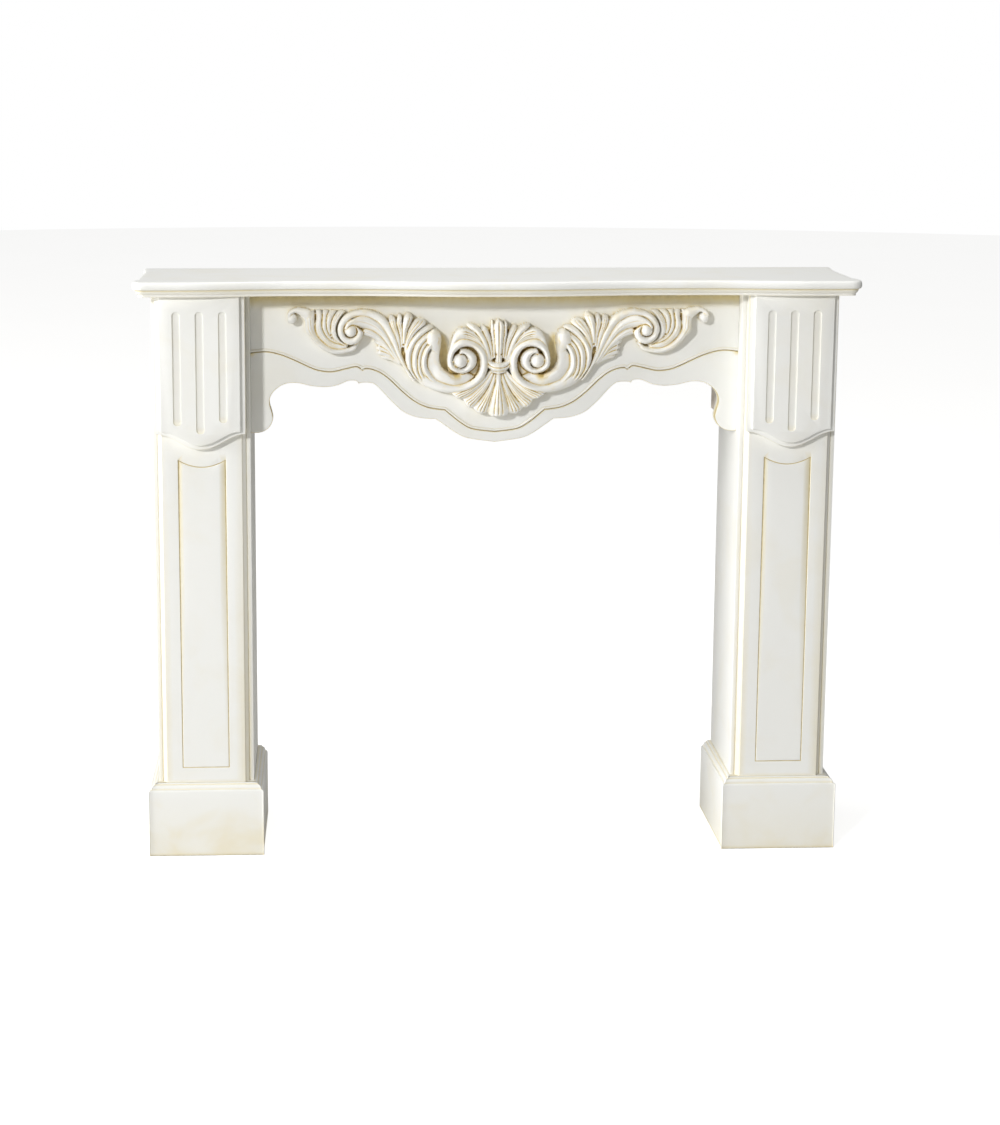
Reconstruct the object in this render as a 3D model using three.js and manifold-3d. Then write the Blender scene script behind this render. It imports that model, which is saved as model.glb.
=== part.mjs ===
// Carved fireplace mantelpiece: serpentine shelf, scalloped frieze with an applied carving, two cased legs.
// Millimetres, +Z up. The front faces -Y, the flat back is in one plane, and the feet stand on Z = 0.
import * as THREE from 'three';
import { mergeVertices } from 'three/addons/utils/BufferGeometryUtils.js';
import Module from 'manifold-3d';

const wasm = await Module();
wasm.setup();

// Overall sizes
const WIDTH = 1222;
const HEIGHT = 1007;
const DEPTH = 248;
const CLEAR = 0.3; // gap left between pieces that touch

// Shelf
const SHELF_THICK = 25.5;
const SHELF_SIDE_OVERHANG = 27.5; // past the outer side of each leg
const SHELF_FRONT_OVERHANG = 29; // past the face of the capital blocks
const SHELF_RECESS = 19.5; // how far the front edge swings back between leg and centre
const SHELF_CENTRE_FLAT = 40; // half length of the forward stretch at the centre
const SHELF_SWING = 215; // length of each inner S in the front edge
const SHELF_LEG_SWING = 180; // length of each outer S
const SHELF_LEG_BLEND = 86; // where the outer S ends, in from the shelf's end
const SHELF_SETBACK_AT_LEG = 4.5; // the edge over the legs is this far behind the centre
const SHELF_WAIST = 6.5; // how far each side edge is hollowed
const SHELF_WAIST_RUN = 70; // length over which the side edge hollows
const SHELF_EAR = 42; // length of the corner ear, along the side
const SHELF_CORNER = 20; // rounding of the front corners

// Legs
const LEG_WIDTH = 165;
const PANEL_WIDTH = 148; // at the casing
const PANEL_THICK = 9;
const PANEL_MOULD_WIDTH = 6.5; // the slope down each long edge of the panel
const PANEL_MOULD_DEPTH = 7;
const CASING_THICK = 18;
const LINE_WIDTH = 2.4; // incised line on the raised panel
const LINE_DEPTH = 1.2;
const LINE_INSET = 27.5; // from the edges of the panel's face and from its foot
const LINE_BELOW_BLOCK = 21; // from the block's lowest point to the line's top corners
const LINE_DIP = 12; // how far the line's top sags

// Feet
const FOOT_HEIGHT = 128;
const FOOT_PROUD_SIDE = 17.5; // past the casing, each side
const FOOT_PROUD_FRONT = 15; // past the raised panel
const FOOT_MOULD_HEIGHT = 13;
const FOOT_MOULD_DEPTH = 12;

// Capital blocks
const BLOCK_WIDTH = 151;
const BLOCK_LEDGE_THICK = 16;
const BLOCK_FACE_THICK = 8;
const BLOCK_LEDGE = 8.5; // width of the ledge round the face
const BLOCK_LENGTH = 235; // down the sides, from the shelf
const BLOCK_BELLY = 26.5; // how far the bottom edge sags at its middle
const FLUTE_WIDTH = 14;
const FLUTE_DEPTH = 4.5;
const FLUTE_PITCH = 38.5;
const FLUTE_TOP = 26; // below the shelf
const FLUTE_LENGTHS = [193.5, 207.5, 188.5]; // left, middle, right, the same on both blocks

// Frieze
const FRIEZE_THICK = 22;
const FRIEZE_SETBACK = 29; // behind the casing's front
const FRIEZE_DROP = 260.5; // from the shelf down to the lowest point at the centre
const GROOVE_WIDTH = 2.6;
const GROOVE_DEPTH = 1.5;

// Blocks behind the ends of the frieze
const CORNER_WIDTH = 15;
const CORNER_LENGTH = 242;
const CORNER_CHAMFER = 14;
const CORNER_DEPTH = 60;

// Carving
const CARVING_WIDTH = 716;
const CARVING_DROP = 123.5; // from the shelf to the middle of its waist band
const CARVING_SHIFT = 4; // it sits a little right of centre
const CARVING_PROUD = 38; // its highest points stand this far off the frieze

// Places that follow from the sizes
const BACK_Y = DEPTH / 2;
const SHELF_BOTTOM = HEIGHT - SHELF_THICK;
const CARRY_TOP = SHELF_BOTTOM - CLEAR; // top of what carries the shelf
const BLOCK_FACE_Y = -DEPTH / 2 + SHELF_FRONT_OVERHANG;
const BLOCK_LEDGE_Y = BLOCK_FACE_Y + BLOCK_FACE_THICK;
const PANEL_Y = BLOCK_LEDGE_Y + BLOCK_LEDGE_THICK + CLEAR;
const CASING_Y = PANEL_Y + PANEL_THICK + CLEAR;
const FOOT_Y = PANEL_Y - FOOT_PROUD_FRONT;
const FRIEZE_Y = CASING_Y + FRIEZE_SETBACK;
const LEG_X = WIDTH / 2 - SHELF_SIDE_OVERHANG - LEG_WIDTH / 2;
const SPAN_X = LEG_X - LEG_WIDTH / 2; // half of the clear width between the legs
const BLOCK_BOTTOM = SHELF_BOTTOM - BLOCK_LENGTH;

// Finishes
const LACQUER = { color: 0xf1efe6, roughness: 0.5, metalness: 0 };
const CAST = { color: 0xf3f0e4, roughness: 0.55, metalness: 0 };
const BARE_WOOD = { color: 0xd9cdbf, roughness: 0.8, metalness: 0 };

const mantelpiece = new THREE.Group();

function addPiece(name, geometry, finish) {
  geometry.deleteAttribute('normal');
  geometry.computeVertexNormals();
  const mesh = new THREE.Mesh(geometry, new THREE.MeshStandardMaterial(finish));
  mesh.name = name;
  mantelpiece.add(mesh);
}

// Booleans

function toSolid(geometry) {
  const bare = geometry.clone();
  bare.deleteAttribute('normal');
  bare.deleteAttribute('uv');
  const merged = mergeVertices(bare, 1e-4);
  return new wasm.Manifold(new wasm.Mesh({
    numProp: 3,
    vertProperties: new Float32Array(merged.attributes.position.array),
    triVerts: new Uint32Array(merged.index.array),
  }));
}

function toGeometry(solid) {
  const mesh = solid.getMesh();
  const geometry = new THREE.BufferGeometry();
  geometry.setAttribute('position', new THREE.BufferAttribute(Float32Array.from(mesh.vertProperties), 3));
  geometry.setIndex(new THREE.BufferAttribute(Uint32Array.from(mesh.triVerts), 1));
  return geometry;
}

function join(geometries) {
  return geometries.map(toSolid).reduce((whole, piece) => whole.add(piece));
}

// Shapes

const smooth = (t) => {
  const s = THREE.MathUtils.clamp(t, 0, 1);
  return s * s * (3 - 2 * s);
};

// A skin through rings of equally many points, closed at both ends.
function loft(rings) {
  const count = rings[0].length;
  const position = rings.flat().flatMap((p) => [p.x, p.y, p.z]);
  const index = [];
  for (let r = 0; r + 1 < rings.length; r += 1) {
    for (let i = 0; i < count; i += 1) {
      const a = r * count + i;
      const b = r * count + ((i + 1) % count);
      index.push(a, b, b + count, a, b + count, a + count);
    }
  }
  const last = (rings.length - 1) * count;
  for (const [i, j, k] of capTriangles(rings[0])) index.push(i, k, j);
  for (const [i, j, k] of capTriangles(rings[rings.length - 1])) index.push(last + i, last + j, last + k);
  const geometry = new THREE.BufferGeometry();
  geometry.setAttribute('position', new THREE.Float32BufferAttribute(position, 3));
  geometry.setIndex(index);
  return turnOutward(geometry);
}

// Triangles of a flat ring, in the plane in which it shows the largest area, in the ring's own turning sense.
function capTriangles(ring) {
  const views = [(p) => [p.x, p.y], (p) => [p.y, p.z], (p) => [p.z, p.x]];
  const flats = views.map((view) => ring.map((p) => new THREE.Vector2(...view(p))));
  const areas = flats.map((flat) => THREE.ShapeUtils.area(flat));
  const best = areas.reduce((top, area, i) => (Math.abs(area) > Math.abs(areas[top]) ? i : top), 0);
  const contour = flats[best];
  const turns = areas[best] > 0;
  const ordered = turns ? contour : [...contour].reverse();
  const corner = (i) => (turns ? i : ring.length - 1 - i);
  return THREE.ShapeUtils.triangulateShape(ordered, [])
    .map(([i, j, k]) => (turns ? [corner(i), corner(j), corner(k)] : [corner(k), corner(j), corner(i)]));
}

// Flips a closed mesh whose faces point inward.
function turnOutward(geometry) {
  const p = geometry.attributes.position;
  const index = geometry.index.array;
  const [a, b, c] = [new THREE.Vector3(), new THREE.Vector3(), new THREE.Vector3()];
  let volume = 0;
  for (let i = 0; i < index.length; i += 3) {
    a.fromBufferAttribute(p, index[i]);
    b.fromBufferAttribute(p, index[i + 1]);
    c.fromBufferAttribute(p, index[i + 2]);
    volume += a.dot(b.cross(c));
  }
  if (volume < 0) {
    for (let i = 0; i < index.length; i += 3) [index[i], index[i + 1]] = [index[i + 1], index[i]];
  }
  return geometry;
}

function box(x0, x1, y0, y1, z0, z1) {
  const geometry = new THREE.BoxGeometry(x1 - x0, y1 - y0, z1 - z0);
  geometry.translate((x0 + x1) / 2, (y0 + y1) / 2, (z0 + z1) / 2);
  return geometry;
}

// A board cut to an outline in the XZ plane, from yFront back to yBack.
function board(outline, yFront, yBack, hole = null) {
  const shape = new THREE.Shape(outline);
  if (hole) shape.holes.push(new THREE.Path(hole));
  const geometry = new THREE.ExtrudeGeometry(shape, { depth: yBack - yFront, bevelEnabled: false, curveSegments: 1 });
  geometry.rotateX(Math.PI / 2);
  geometry.translate(0, yBack, 0);
  return geometry;
}

const point = (x, z) => new THREE.Vector2(x, z);

// A smooth curve through its knots, as the points of so many facets.
function through(knots, facets) {
  return new THREE.SplineCurve(knots.map(([x, z]) => point(x, z))).getPoints(facets);
}

// The two edges of a ribbon of a given width along a path.
function ribbon(path, width) {
  const left = [];
  const right = [];
  path.forEach((p, i) => {
    const before = path[Math.max(i - 1, 0)];
    const after = path[Math.min(i + 1, path.length - 1)];
    const side = after.clone().sub(before).normalize().rotateAround(point(0, 0), Math.PI / 2);
    left.push(p.clone().addScaledVector(side, width / 2));
    right.push(p.clone().addScaledVector(side, -width / 2));
  });
  return [...left, ...right.reverse()];
}

// Shelf

function shelfFront(x) {
  const reach = Math.abs(x);
  const legSwing = WIDTH / 2 - SHELF_LEG_BLEND - SHELF_LEG_SWING;
  const away = smooth((reach - SHELF_CENTRE_FLAT) / SHELF_SWING);
  const back = smooth((reach - legSwing) / SHELF_LEG_SWING);
  return -DEPTH / 2 + SHELF_RECESS * away - (SHELF_RECESS - SHELF_SETBACK_AT_LEG) * back;
}

function shelfSide(y) {
  const waist = smooth((BACK_Y - y) / SHELF_WAIST_RUN);
  const earStart = -DEPTH / 2 + SHELF_CORNER + SHELF_EAR;
  const ear = smooth((earStart - y) / (SHELF_EAR - SHELF_CORNER / 2));
  return WIDTH / 2 - SHELF_WAIST * (waist - ear);
}

// Right half of the shelf's plan, from the back corner to the middle of the front.
function shelfPlan() {
  const half = [];
  const sideSteps = 12;
  const cornerSteps = 4;
  const frontSteps = 20;
  const sideEnd = -DEPTH / 2 + SHELF_SETBACK_AT_LEG + SHELF_CORNER;
  for (let i = 0; i <= sideSteps; i += 1) {
    const y = THREE.MathUtils.lerp(BACK_Y, sideEnd, i / sideSteps);
    half.push(point(shelfSide(y), y));
  }
  const centre = point(shelfSide(sideEnd) - SHELF_CORNER, sideEnd);
  for (let i = 1; i <= cornerSteps; i += 1) {
    const angle = (-Math.PI / 2) * (i / cornerSteps);
    half.push(point(centre.x + SHELF_CORNER * Math.cos(angle), centre.y + SHELF_CORNER * Math.sin(angle)));
  }
  for (let i = 1; i <= frontSteps; i += 1) {
    const x = centre.x * (1 - i / frontSteps);
    half.push(point(x, shelfFront(x)));
  }
  const mirrored = half.slice(0, -1).reverse().map((p) => point(-p.x, p.y));
  return [...half, ...mirrored];
}

// The plan moved inward by a distance, with its back edge left where it is.
function inset(plan, distance) {
  return plan.map((p, i) => {
    const isEnd = i === 0 || i === plan.length - 1;
    const before = plan[Math.max(i - 1, 0)];
    const after = plan[Math.min(i + 1, plan.length - 1)];
    const run = after.clone().sub(before).normalize();
    const inward = isEnd ? point(-Math.sign(p.x), 0) : point(run.y, -run.x);
    const moved = p.clone().addScaledVector(inward, distance);
    if (isEnd) moved.y = BACK_Y;
    return moved;
  });
}

// Inset and height below the shelf's top, from the underside up: fillet, cove, step and round nose.
const SHELF_PROFILE = [
  [10, 25.5], [10, 21.6], [7.4, 19.6], [5.6, 16.9], [5, 14.3],
  [1.8, 13.4], [0, 10.2], [0, 5.4], [1.2, 2], [3.4, 0],
];

function shelf() {
  const plan = shelfPlan();
  const rings = SHELF_PROFILE.map(([distance, below]) => {
    const z = HEIGHT - below * (SHELF_THICK / SHELF_PROFILE[0][1]);
    return inset(plan, distance).map((p) => new THREE.Vector3(p.x, p.y, z));
  });
  addPiece('mantel_shelf', loft(rings), LACQUER);
}

// Frieze

// Right half of the lower edge, from the centre out. Each knot is a share of the half span and a share of the drop.
const FRIEZE_EDGE = [
  [[0, 1], [0.108, 0.975], [0.156, 0.942], [0.205, 0.888], [0.244, 0.844]],
  [[0.244, 0.844], [0.281, 0.842], [0.33, 0.828], [0.378, 0.793], [0.426, 0.723], [0.465, 0.654], [0.494, 0.611],
    [0.518, 0.6], [0.547, 0.6], [0.559, 0.607]],
  [[0.559, 0.607], [0.567, 0.591], [0.581, 0.585], [0.605, 0.589], [0.648, 0.617], [0.697, 0.628], [0.754, 0.62],
    [0.812, 0.6], [0.861, 0.607], [0.9, 0.646], [0.92, 0.692], [0.924, 0.739], [0.914, 0.8], [0.911, 0.847],
    [0.929, 0.901], [0.962, 0.929], [1, 0.932]],
];

// The incised line above it, in the same shares.
const FRIEZE_GROOVE = [
  [[-0.09, 0.911], [0, 0.93], [0.09, 0.911], [0.137, 0.872], [0.185, 0.811], [0.205, 0.783]],
  [[0.205, 0.783], [0.234, 0.778], [0.281, 0.763], [0.33, 0.724], [0.378, 0.662], [0.426, 0.587], [0.465, 0.538],
    [0.504, 0.511], [0.532, 0.506], [0.543, 0.517]],
  [[0.543, 0.517], [0.553, 0.505], [0.571, 0.493], [0.62, 0.51], [0.668, 0.526], [0.716, 0.519], [0.754, 0.499],
    [0.812, 0.455], [0.861, 0.421], [0.909, 0.398], [0.948, 0.392], [1.01, 0.4]],
];

const onFrieze = ([x, z], side = 1) => [side * x * SPAN_X, SHELF_BOTTOM - z * FRIEZE_DROP];

function friezeBoard() {
  const end = SPAN_X - CLEAR;
  const facetsPerKnot = 2;
  const lower = FRIEZE_EDGE.flatMap((stretch, i) => {
    const points = through(stretch.map((knot) => onFrieze(knot)), facetsPerKnot * (stretch.length - 1));
    return i ? points.slice(1) : points;
  });
  lower[lower.length - 1].x = end;
  const half = [...lower, point(end, CARRY_TOP)];
  const mirrored = half.slice(1).reverse().map((p) => point(-p.x, p.y));
  let solid = toSolid(board([...half, ...mirrored], FRIEZE_Y, FRIEZE_Y + FRIEZE_THICK));
  for (const side of [-1, 1]) {
    FRIEZE_GROOVE.forEach((stretch, i) => {
      if (i === 0 && side < 0) return;
      const path = through(stretch.map((knot) => onFrieze(knot, side)), stretch.length - 1);
      const cut = board(ribbon(path, GROOVE_WIDTH), FRIEZE_Y - GROOVE_DEPTH, FRIEZE_Y + GROOVE_DEPTH);
      solid = solid.subtract(toSolid(turnOutward(indexed(cut))));
    });
  }
  addPiece('frieze_board', toGeometry(solid), LACQUER);
}

function indexed(geometry) {
  const bare = geometry.clone();
  bare.deleteAttribute('normal');
  bare.deleteAttribute('uv');
  return mergeVertices(bare, 1e-4);
}

function cornerBlock(name, side) {
  const outer = side * (SPAN_X - CLEAR);
  const inner = side * (SPAN_X - CORNER_WIDTH);
  const bottom = CARRY_TOP - CORNER_LENGTH;
  const outline = [
    point(inner, CARRY_TOP), point(outer, CARRY_TOP), point(outer, bottom), point(inner, bottom + CORNER_CHAMFER),
  ];
  addPiece(name, turnOutward(indexed(board(outline, BACK_Y - CORNER_DEPTH, BACK_Y))), BARE_WOOD);
}

// Carving

// One strip of the carving along a path on the board: flat behind, rounded in front. Its path is in millimetres from
// the middle of the waist band, and width(t) and height(t) run along it.
function strip(path, width, height, section = RIDGE) {
  const scale = CARVING_WIDTH / CARVING_DRAWN;
  const back = FRIEZE_Y - CLEAR;
  const rings = path.map((p, i) => {
    const t = i / (path.length - 1);
    const before = path[Math.max(i - 1, 0)];
    const after = path[Math.min(i + 1, path.length - 1)];
    const side = after.clone().sub(before).normalize().rotateAround(point(0, 0), Math.PI / 2);
    return section.map(([across, out]) => {
      const at = p.clone().addScaledVector(side, across * width(t)).multiplyScalar(scale);
      return new THREE.Vector3(
        at.x + CARVING_SHIFT,
        back - out * height(t) * (CARVING_PROUD / CARVING_DRAWN_PROUD),
        at.y + SHELF_BOTTOM - CARVING_DROP,
      );
    });
  });
  return loft(rings);
}

const CARVING_DRAWN = 716; // the width and height that the carving's shapes below are drawn to
const CARVING_DRAWN_PROUD = 38;
const RIDGE = [[-0.5, 0], [-0.42, 0.68], [0, 1], [0.42, 0.68], [0.5, 0]];
const ROUND = [[-0.5, 0], [-0.46, 0.62], [-0.2, 1], [0.2, 1], [0.46, 0.62], [0.5, 0]];

const mirrorPath = (path, side) => path.map((p) => point(side * p.x, p.y));

// A value that runs evenly through a few given ones.
const along = (...values) => (t) => {
  const place = THREE.MathUtils.clamp(t, 0, 1) * (values.length - 1);
  const i = Math.min(Math.floor(place), values.length - 2);
  return THREE.MathUtils.lerp(values[i], values[i + 1], place - i);
};

// Leaf blades run from their root to their tip: a lobe is widest near its round tip, a leaf is widest at its middle.
const lobe = (width) => along(0.3 * width, 0.55 * width, 0.8 * width, width, width, 0.5 * width);
const leaf = (width) => along(0.45 * width, 0.85 * width, width, 0.9 * width, 0.65 * width, 0.25 * width);

function spiral(centre, fromRadius, toRadius, fromDegrees, toDegrees, steps, bend) {
  const points = [];
  for (let i = 0; i <= steps; i += 1) {
    const t = i / steps;
    const radius = toRadius + (fromRadius - toRadius) * (1 - t) ** bend;
    const angle = THREE.MathUtils.degToRad(THREE.MathUtils.lerp(fromDegrees, toDegrees, t));
    points.push(point(centre[0] + radius * Math.cos(angle), centre[1] + radius * Math.sin(angle)));
  }
  return points;
}

function dome(centre, radius, height, side) {
  const [x, z] = [side * centre[0], centre[1]];
  const rise = 3;
  const path = Array.from({ length: rise + 3 }, (_, i) => point(x, z + radius * Math.sin((i / (rise + 2) - 0.5) * Math.PI)));
  const chord = (t) => Math.max(2 * radius * Math.cos((t - 0.5) * Math.PI), 0.2 * radius);
  return strip(path, chord, (t) => height * (0.55 + 0.45 * Math.cos((t - 0.5) * Math.PI)), ROUND);
}

const STEM = [[240, 84], [217, 72], [194, 47], [175, 21], [159, -4], [144, -21], [126, -31], [100, -34], [75, -25]];
const SMALL_VOLUTE = [250.6, 59.9];
const BIG_VOLUTE = [63.7, 12.9];

// The S-scroll: out of the small volute, down the stem, under the leaves and round into the big volute.
function scroll(side) {
  const small = spiral(SMALL_VOLUTE, 26, 8.5, 112, -230, 12, 1.35).reverse();
  const stem = through(STEM, 12);
  const big = spiral(BIG_VOLUTE, 35, 9, -75, -580, 18, 1.3);
  const smallStrip = strip(
    mirrorPath([...small, ...stem.slice(1, 6)], side),
    along(5, 8, 10, 12, 14, 20, 26, 22), along(33, 30, 27, 25, 24, 23, 22), ROUND,
  );
  const bigStrip = strip(
    mirrorPath([...stem.slice(4), ...big.slice(1)], side),
    along(24, 14, 22, 25, 22, 16, 12, 10, 8), along(20, 20, 24, 28, 30, 30, 32, 34, 36), ROUND,
  );
  return [smallStrip, bigStrip, dome(SMALL_VOLUTE, 10, 35, side), dome(BIG_VOLUTE, 11, 38, side)];
}

// Shell below the waist band: seven lobes.
function shell() {
  const lobes = [];
  const reach = 87;
  for (let i = -3; i <= 3; i += 1) {
    const turn = Math.sign(i) * (21 * Math.abs(i) - 1.3 * i * i);
    const angle = THREE.MathUtils.degToRad(turn - 90);
    const tip = [reach * Math.cos(angle), reach * Math.sin(angle)];
    const middle = [0.42 * tip[0], 0.55 * tip[1]];
    lobes.push(strip(through([[i * 2, 2], middle, tip], 5), lobe(i ? 24 : 31), along(22, 24, 26, 24, 14)));
  }
  return lobes;
}

// Palmette above the waist band: centre leaf, two leaves a side, and a hood over each big volute.
function palmette(side) {
  const leaves = [
    [[[3, 2], [12, 40], [25, 66]], 17, 27],
    [[[6, 2], [21, 38], [50, 67]], 17, 26],
    [[[10, 6], [30, 40], [60, 54], [88, 34]], 24, 24],
  ];
  return leaves.map(([knots, width, height]) => {
    const path = through(knots.map(([x, z]) => [side * x, z]), knots.length + 2);
    return strip(path, leaf(width), along(22, height, height, height - 8));
  });
}

// Leaves over the stem of the scroll, their tips listed from the outside in.
function sideFan(side) {
  const root = [152, -8];
  const tips = [[192, 79], [182, 84], [171, 82], [157, 87]];
  const waist = [167, 34];
  return tips.map((tip, i) => {
    const middle = [waist[0] + 5 - 3.5 * i, waist[1]];
    const path = through([root, middle, tip].map(([x, z]) => [side * x, z]), 4);
    return strip(path, along(6, 8, 12, 15, 8), along(20, 24, 28, 26, 18));
  });
}

// C-shaped leaves beside them, which run down into the scroll. They are spread evenly between two curves.
function bowlLeaves(side) {
  const outer = [[144, 80], [153, 44], [156, 14], [146, -14], [128, -30]];
  const inner = [[106, 58], [122, 40], [126, 14], [118, -12], [98, -30]];
  const count = 4;
  const leaves = [];
  for (let i = 0; i < count; i += 1) {
    const share = i / (count - 1);
    const knots = outer.map(([x, z], k) => [
      side * THREE.MathUtils.lerp(x, inner[k][0], share),
      THREE.MathUtils.lerp(z, inner[k][1], share),
    ]);
    leaves.push(strip(through(knots.reverse(), 6), along(9, 12, 13, 14, 10), along(20, 24, 29, 32, 27)));
  }
  const curl = through([[side * 82, -26], [side * 101, -16], [side * 110, 6], [side * 106, 26]], 5);
  leaves.push(strip(curl, leaf(20), along(20, 24, 26, 22)));
  return leaves;
}

// Small fan under the stem.
function lowerFan(side) {
  const root = [158, -6];
  const count = 4;
  const leaves = [];
  for (let i = 0; i < count; i += 1) {
    const share = i / (count - 1);
    const tip = [212 - 15 * share, 43 - 34 * share];
    const middle = [187 - 6 * share, 22 - 16 * share];
    const path = through([root, middle, tip].map(([x, z]) => [side * x, z]), 3);
    leaves.push(strip(path, along(6, 11, 9), along(16, 18, 14)));
  }
  return leaves;
}

// End leaf that wraps under the small volute, with the hook at its tip.
function endLeaf(side) {
  const outer = [[243, 34], [262, 27], [288, 27], [307, 41], [319, 66], [330, 92]];
  const inner = [[256, 40], [264, 41], [271, 47], [276, 58], [279, 74], [279, 92]];
  const count = 5;
  const leaves = [];
  for (let i = 0; i < count; i += 1) {
    const share = i / (count - 1);
    const knots = outer.map(([x, z], k) => [
      side * THREE.MathUtils.lerp(x, inner[k][0], share),
      THREE.MathUtils.lerp(z, inner[k][1], share),
    ]);
    leaves.push(strip(through(knots, 7), along(7, 13, 15, 13, 13, 11), along(16, 20, 22, 20, 18)));
  }
  const hook = through([[side * 322, 70], [side * 331, 90], [side * 345, 95], [side * 355, 88], [side * 352, 80]], 6);
  leaves.push(strip(hook, along(12, 13, 10, 8, 5), along(18, 20, 22, 20, 16)));
  return leaves;
}

function waistBand() {
  return strip([point(-17, 0), point(-9, -1), point(9, -1), point(17, 0)], along(14, 17, 14), along(22, 34, 22), ROUND);
}

function frontLeaf() {
  return strip(through([[0, 2], [1, 40], [2, 75]], 5), leaf(20), along(24, 30, 30, 20));
}

function carving() {
  const parts = [...shell(), waistBand(), frontLeaf()];
  for (const side of [-1, 1]) {
    parts.push(
      ...palmette(side), ...scroll(side), ...sideFan(side), ...bowlLeaves(side), ...lowerFan(side), ...endLeaf(side),
    );
  }
  addPiece('frieze_carving', toGeometry(join(parts)), CAST);
}

// Legs

// A board whose long edges slope down to the casing.
function raisedPanel(x0, x1, z0, z1) {
  const ring = (y, by) => [
    new THREE.Vector3(x0 + by, y, z0), new THREE.Vector3(x1 - by, y, z0),
    new THREE.Vector3(x1 - by, y, z1), new THREE.Vector3(x0 + by, y, z1),
  ];
  return loft([
    ring(PANEL_Y + PANEL_THICK, 0), ring(PANEL_Y + PANEL_MOULD_DEPTH, 0), ring(PANEL_Y, PANEL_MOULD_WIDTH),
  ]);
}

// The incised frame: straight sides and foot, and a top that sags in an arc.
function panelLine(centre, grow) {
  const half = PANEL_WIDTH / 2 - PANEL_MOULD_WIDTH - LINE_INSET + grow;
  const low = FOOT_HEIGHT + LINE_INSET - grow;
  const high = BLOCK_BOTTOM - BLOCK_BELLY - LINE_BELOW_BLOCK + grow;
  const steps = 8;
  const outline = [point(centre - half, low), point(centre + half, low)];
  for (let i = 0; i <= steps; i += 1) {
    const across = 1 - 2 * (i / steps);
    outline.push(point(centre + half * across, high - LINE_DIP * (1 - across * across)));
  }
  return outline;
}

function legPanel(name, centre) {
  const half = PANEL_WIDTH / 2;
  const blank = raisedPanel(centre - half, centre + half, FOOT_HEIGHT + CLEAR, CARRY_TOP);
  const cut = board(
    panelLine(centre, LINE_WIDTH / 2), PANEL_Y - LINE_DEPTH, PANEL_Y + LINE_DEPTH, panelLine(centre, -LINE_WIDTH / 2),
  );
  addPiece(name, toGeometry(toSolid(blank).subtract(toSolid(cut))), LACQUER);
}

function foot(name, centre) {
  const outerHalf = LEG_WIDTH / 2 + FOOT_PROUD_SIDE;
  const innerHalf = LEG_WIDTH / 2 + CLEAR;
  // Inset and height below the top: plain face, round edge, cove and top ledge.
  const profile = [[0, FOOT_HEIGHT], [0, 1], [0.3, 0.86], [0.34, 0.74], [0.42, 0.42], [0.68, 0.2], [0.86, 0.14], [1, 0]];
  const rings = profile.map(([share, below], i) => {
    const by = share * FOOT_MOULD_DEPTH;
    const z = i ? FOOT_HEIGHT - below * FOOT_MOULD_HEIGHT : 0;
    const outer = outerHalf - by;
    const front = FOOT_Y + by;
    const corners = [
      [-outer, BACK_Y], [-outer, front], [outer, front], [outer, BACK_Y],
      [innerHalf, BACK_Y], [innerHalf, CASING_Y - CLEAR], [-innerHalf, CASING_Y - CLEAR], [-innerHalf, BACK_Y],
    ];
    return corners.map(([x, y]) => new THREE.Vector3(centre + x, y, z));
  });
  addPiece(name, loft(rings), LACQUER);
}

// Lower edge of the block: a bell curve that sags at the middle.
function blockOutline(centre, half, ends, belly) {
  const steps = 14;
  const outline = [point(centre + half, CARRY_TOP), point(centre - half, CARRY_TOP)];
  for (let i = 0; i <= steps; i += 1) {
    const across = -1 + 2 * (i / steps);
    outline.push(point(centre + half * across, ends - belly * 0.5 * (1 + Math.cos(Math.PI * across))));
  }
  return outline;
}

function flute(x, length) {
  const geometry = new THREE.CapsuleGeometry(FLUTE_WIDTH / 2, length - FLUTE_WIDTH, 3, 12);
  geometry.rotateX(Math.PI / 2);
  geometry.scale(1, FLUTE_DEPTH / (FLUTE_WIDTH / 2), 1);
  geometry.translate(x, BLOCK_FACE_Y, SHELF_BOTTOM - FLUTE_TOP - length / 2);
  return geometry;
}

function capitalBlock(name, centre) {
  const half = BLOCK_WIDTH / 2;
  const ledge = board(
    blockOutline(centre, half, BLOCK_BOTTOM, BLOCK_BELLY), BLOCK_LEDGE_Y, BLOCK_LEDGE_Y + BLOCK_LEDGE_THICK,
  );
  const face = board(
    blockOutline(centre, half - BLOCK_LEDGE, BLOCK_BOTTOM + 0.65 * BLOCK_LEDGE, BLOCK_BELLY - 0.35 * BLOCK_LEDGE),
    BLOCK_FACE_Y, BLOCK_LEDGE_Y + BLOCK_LEDGE_THICK / 2,
  );
  let solid = join([ledge, face]);
  FLUTE_LENGTHS.forEach((length, i) => {
    solid = solid.subtract(toSolid(flute(centre + (i - 1) * FLUTE_PITCH, length)));
  });
  addPiece(name, toGeometry(solid), LACQUER);
}

function leg(word, side) {
  const centre = side * LEG_X;
  const inside = LEG_X - LEG_WIDTH / 2;
  const outside = LEG_X + LEG_WIDTH / 2;
  const casing = (name, near, far, y0, y1) => {
    const [x0, x1] = [side * near, side * far].sort((a, b) => a - b);
    addPiece(`${word}_leg_${name}`, box(x0, x1, y0, y1, 0, CARRY_TOP), LACQUER);
  };
  const behind = CASING_Y + CASING_THICK + CLEAR;
  casing('front_board', inside, outside, CASING_Y, CASING_Y + CASING_THICK);
  casing('inner_side', inside, inside + CASING_THICK, behind, BACK_Y);
  casing('outer_side', outside - CASING_THICK, outside, behind, BACK_Y);
  legPanel(`${word}_leg_raised_panel`, centre);
  foot(`${word}_foot`, centre);
  capitalBlock(`${word}_capital_block`, centre);
  cornerBlock(`${word}_corner_block`, side);
}

shelf();
friezeBoard();
carving();
leg('left', -1);
leg('right', 1);

export default mantelpiece;
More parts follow.
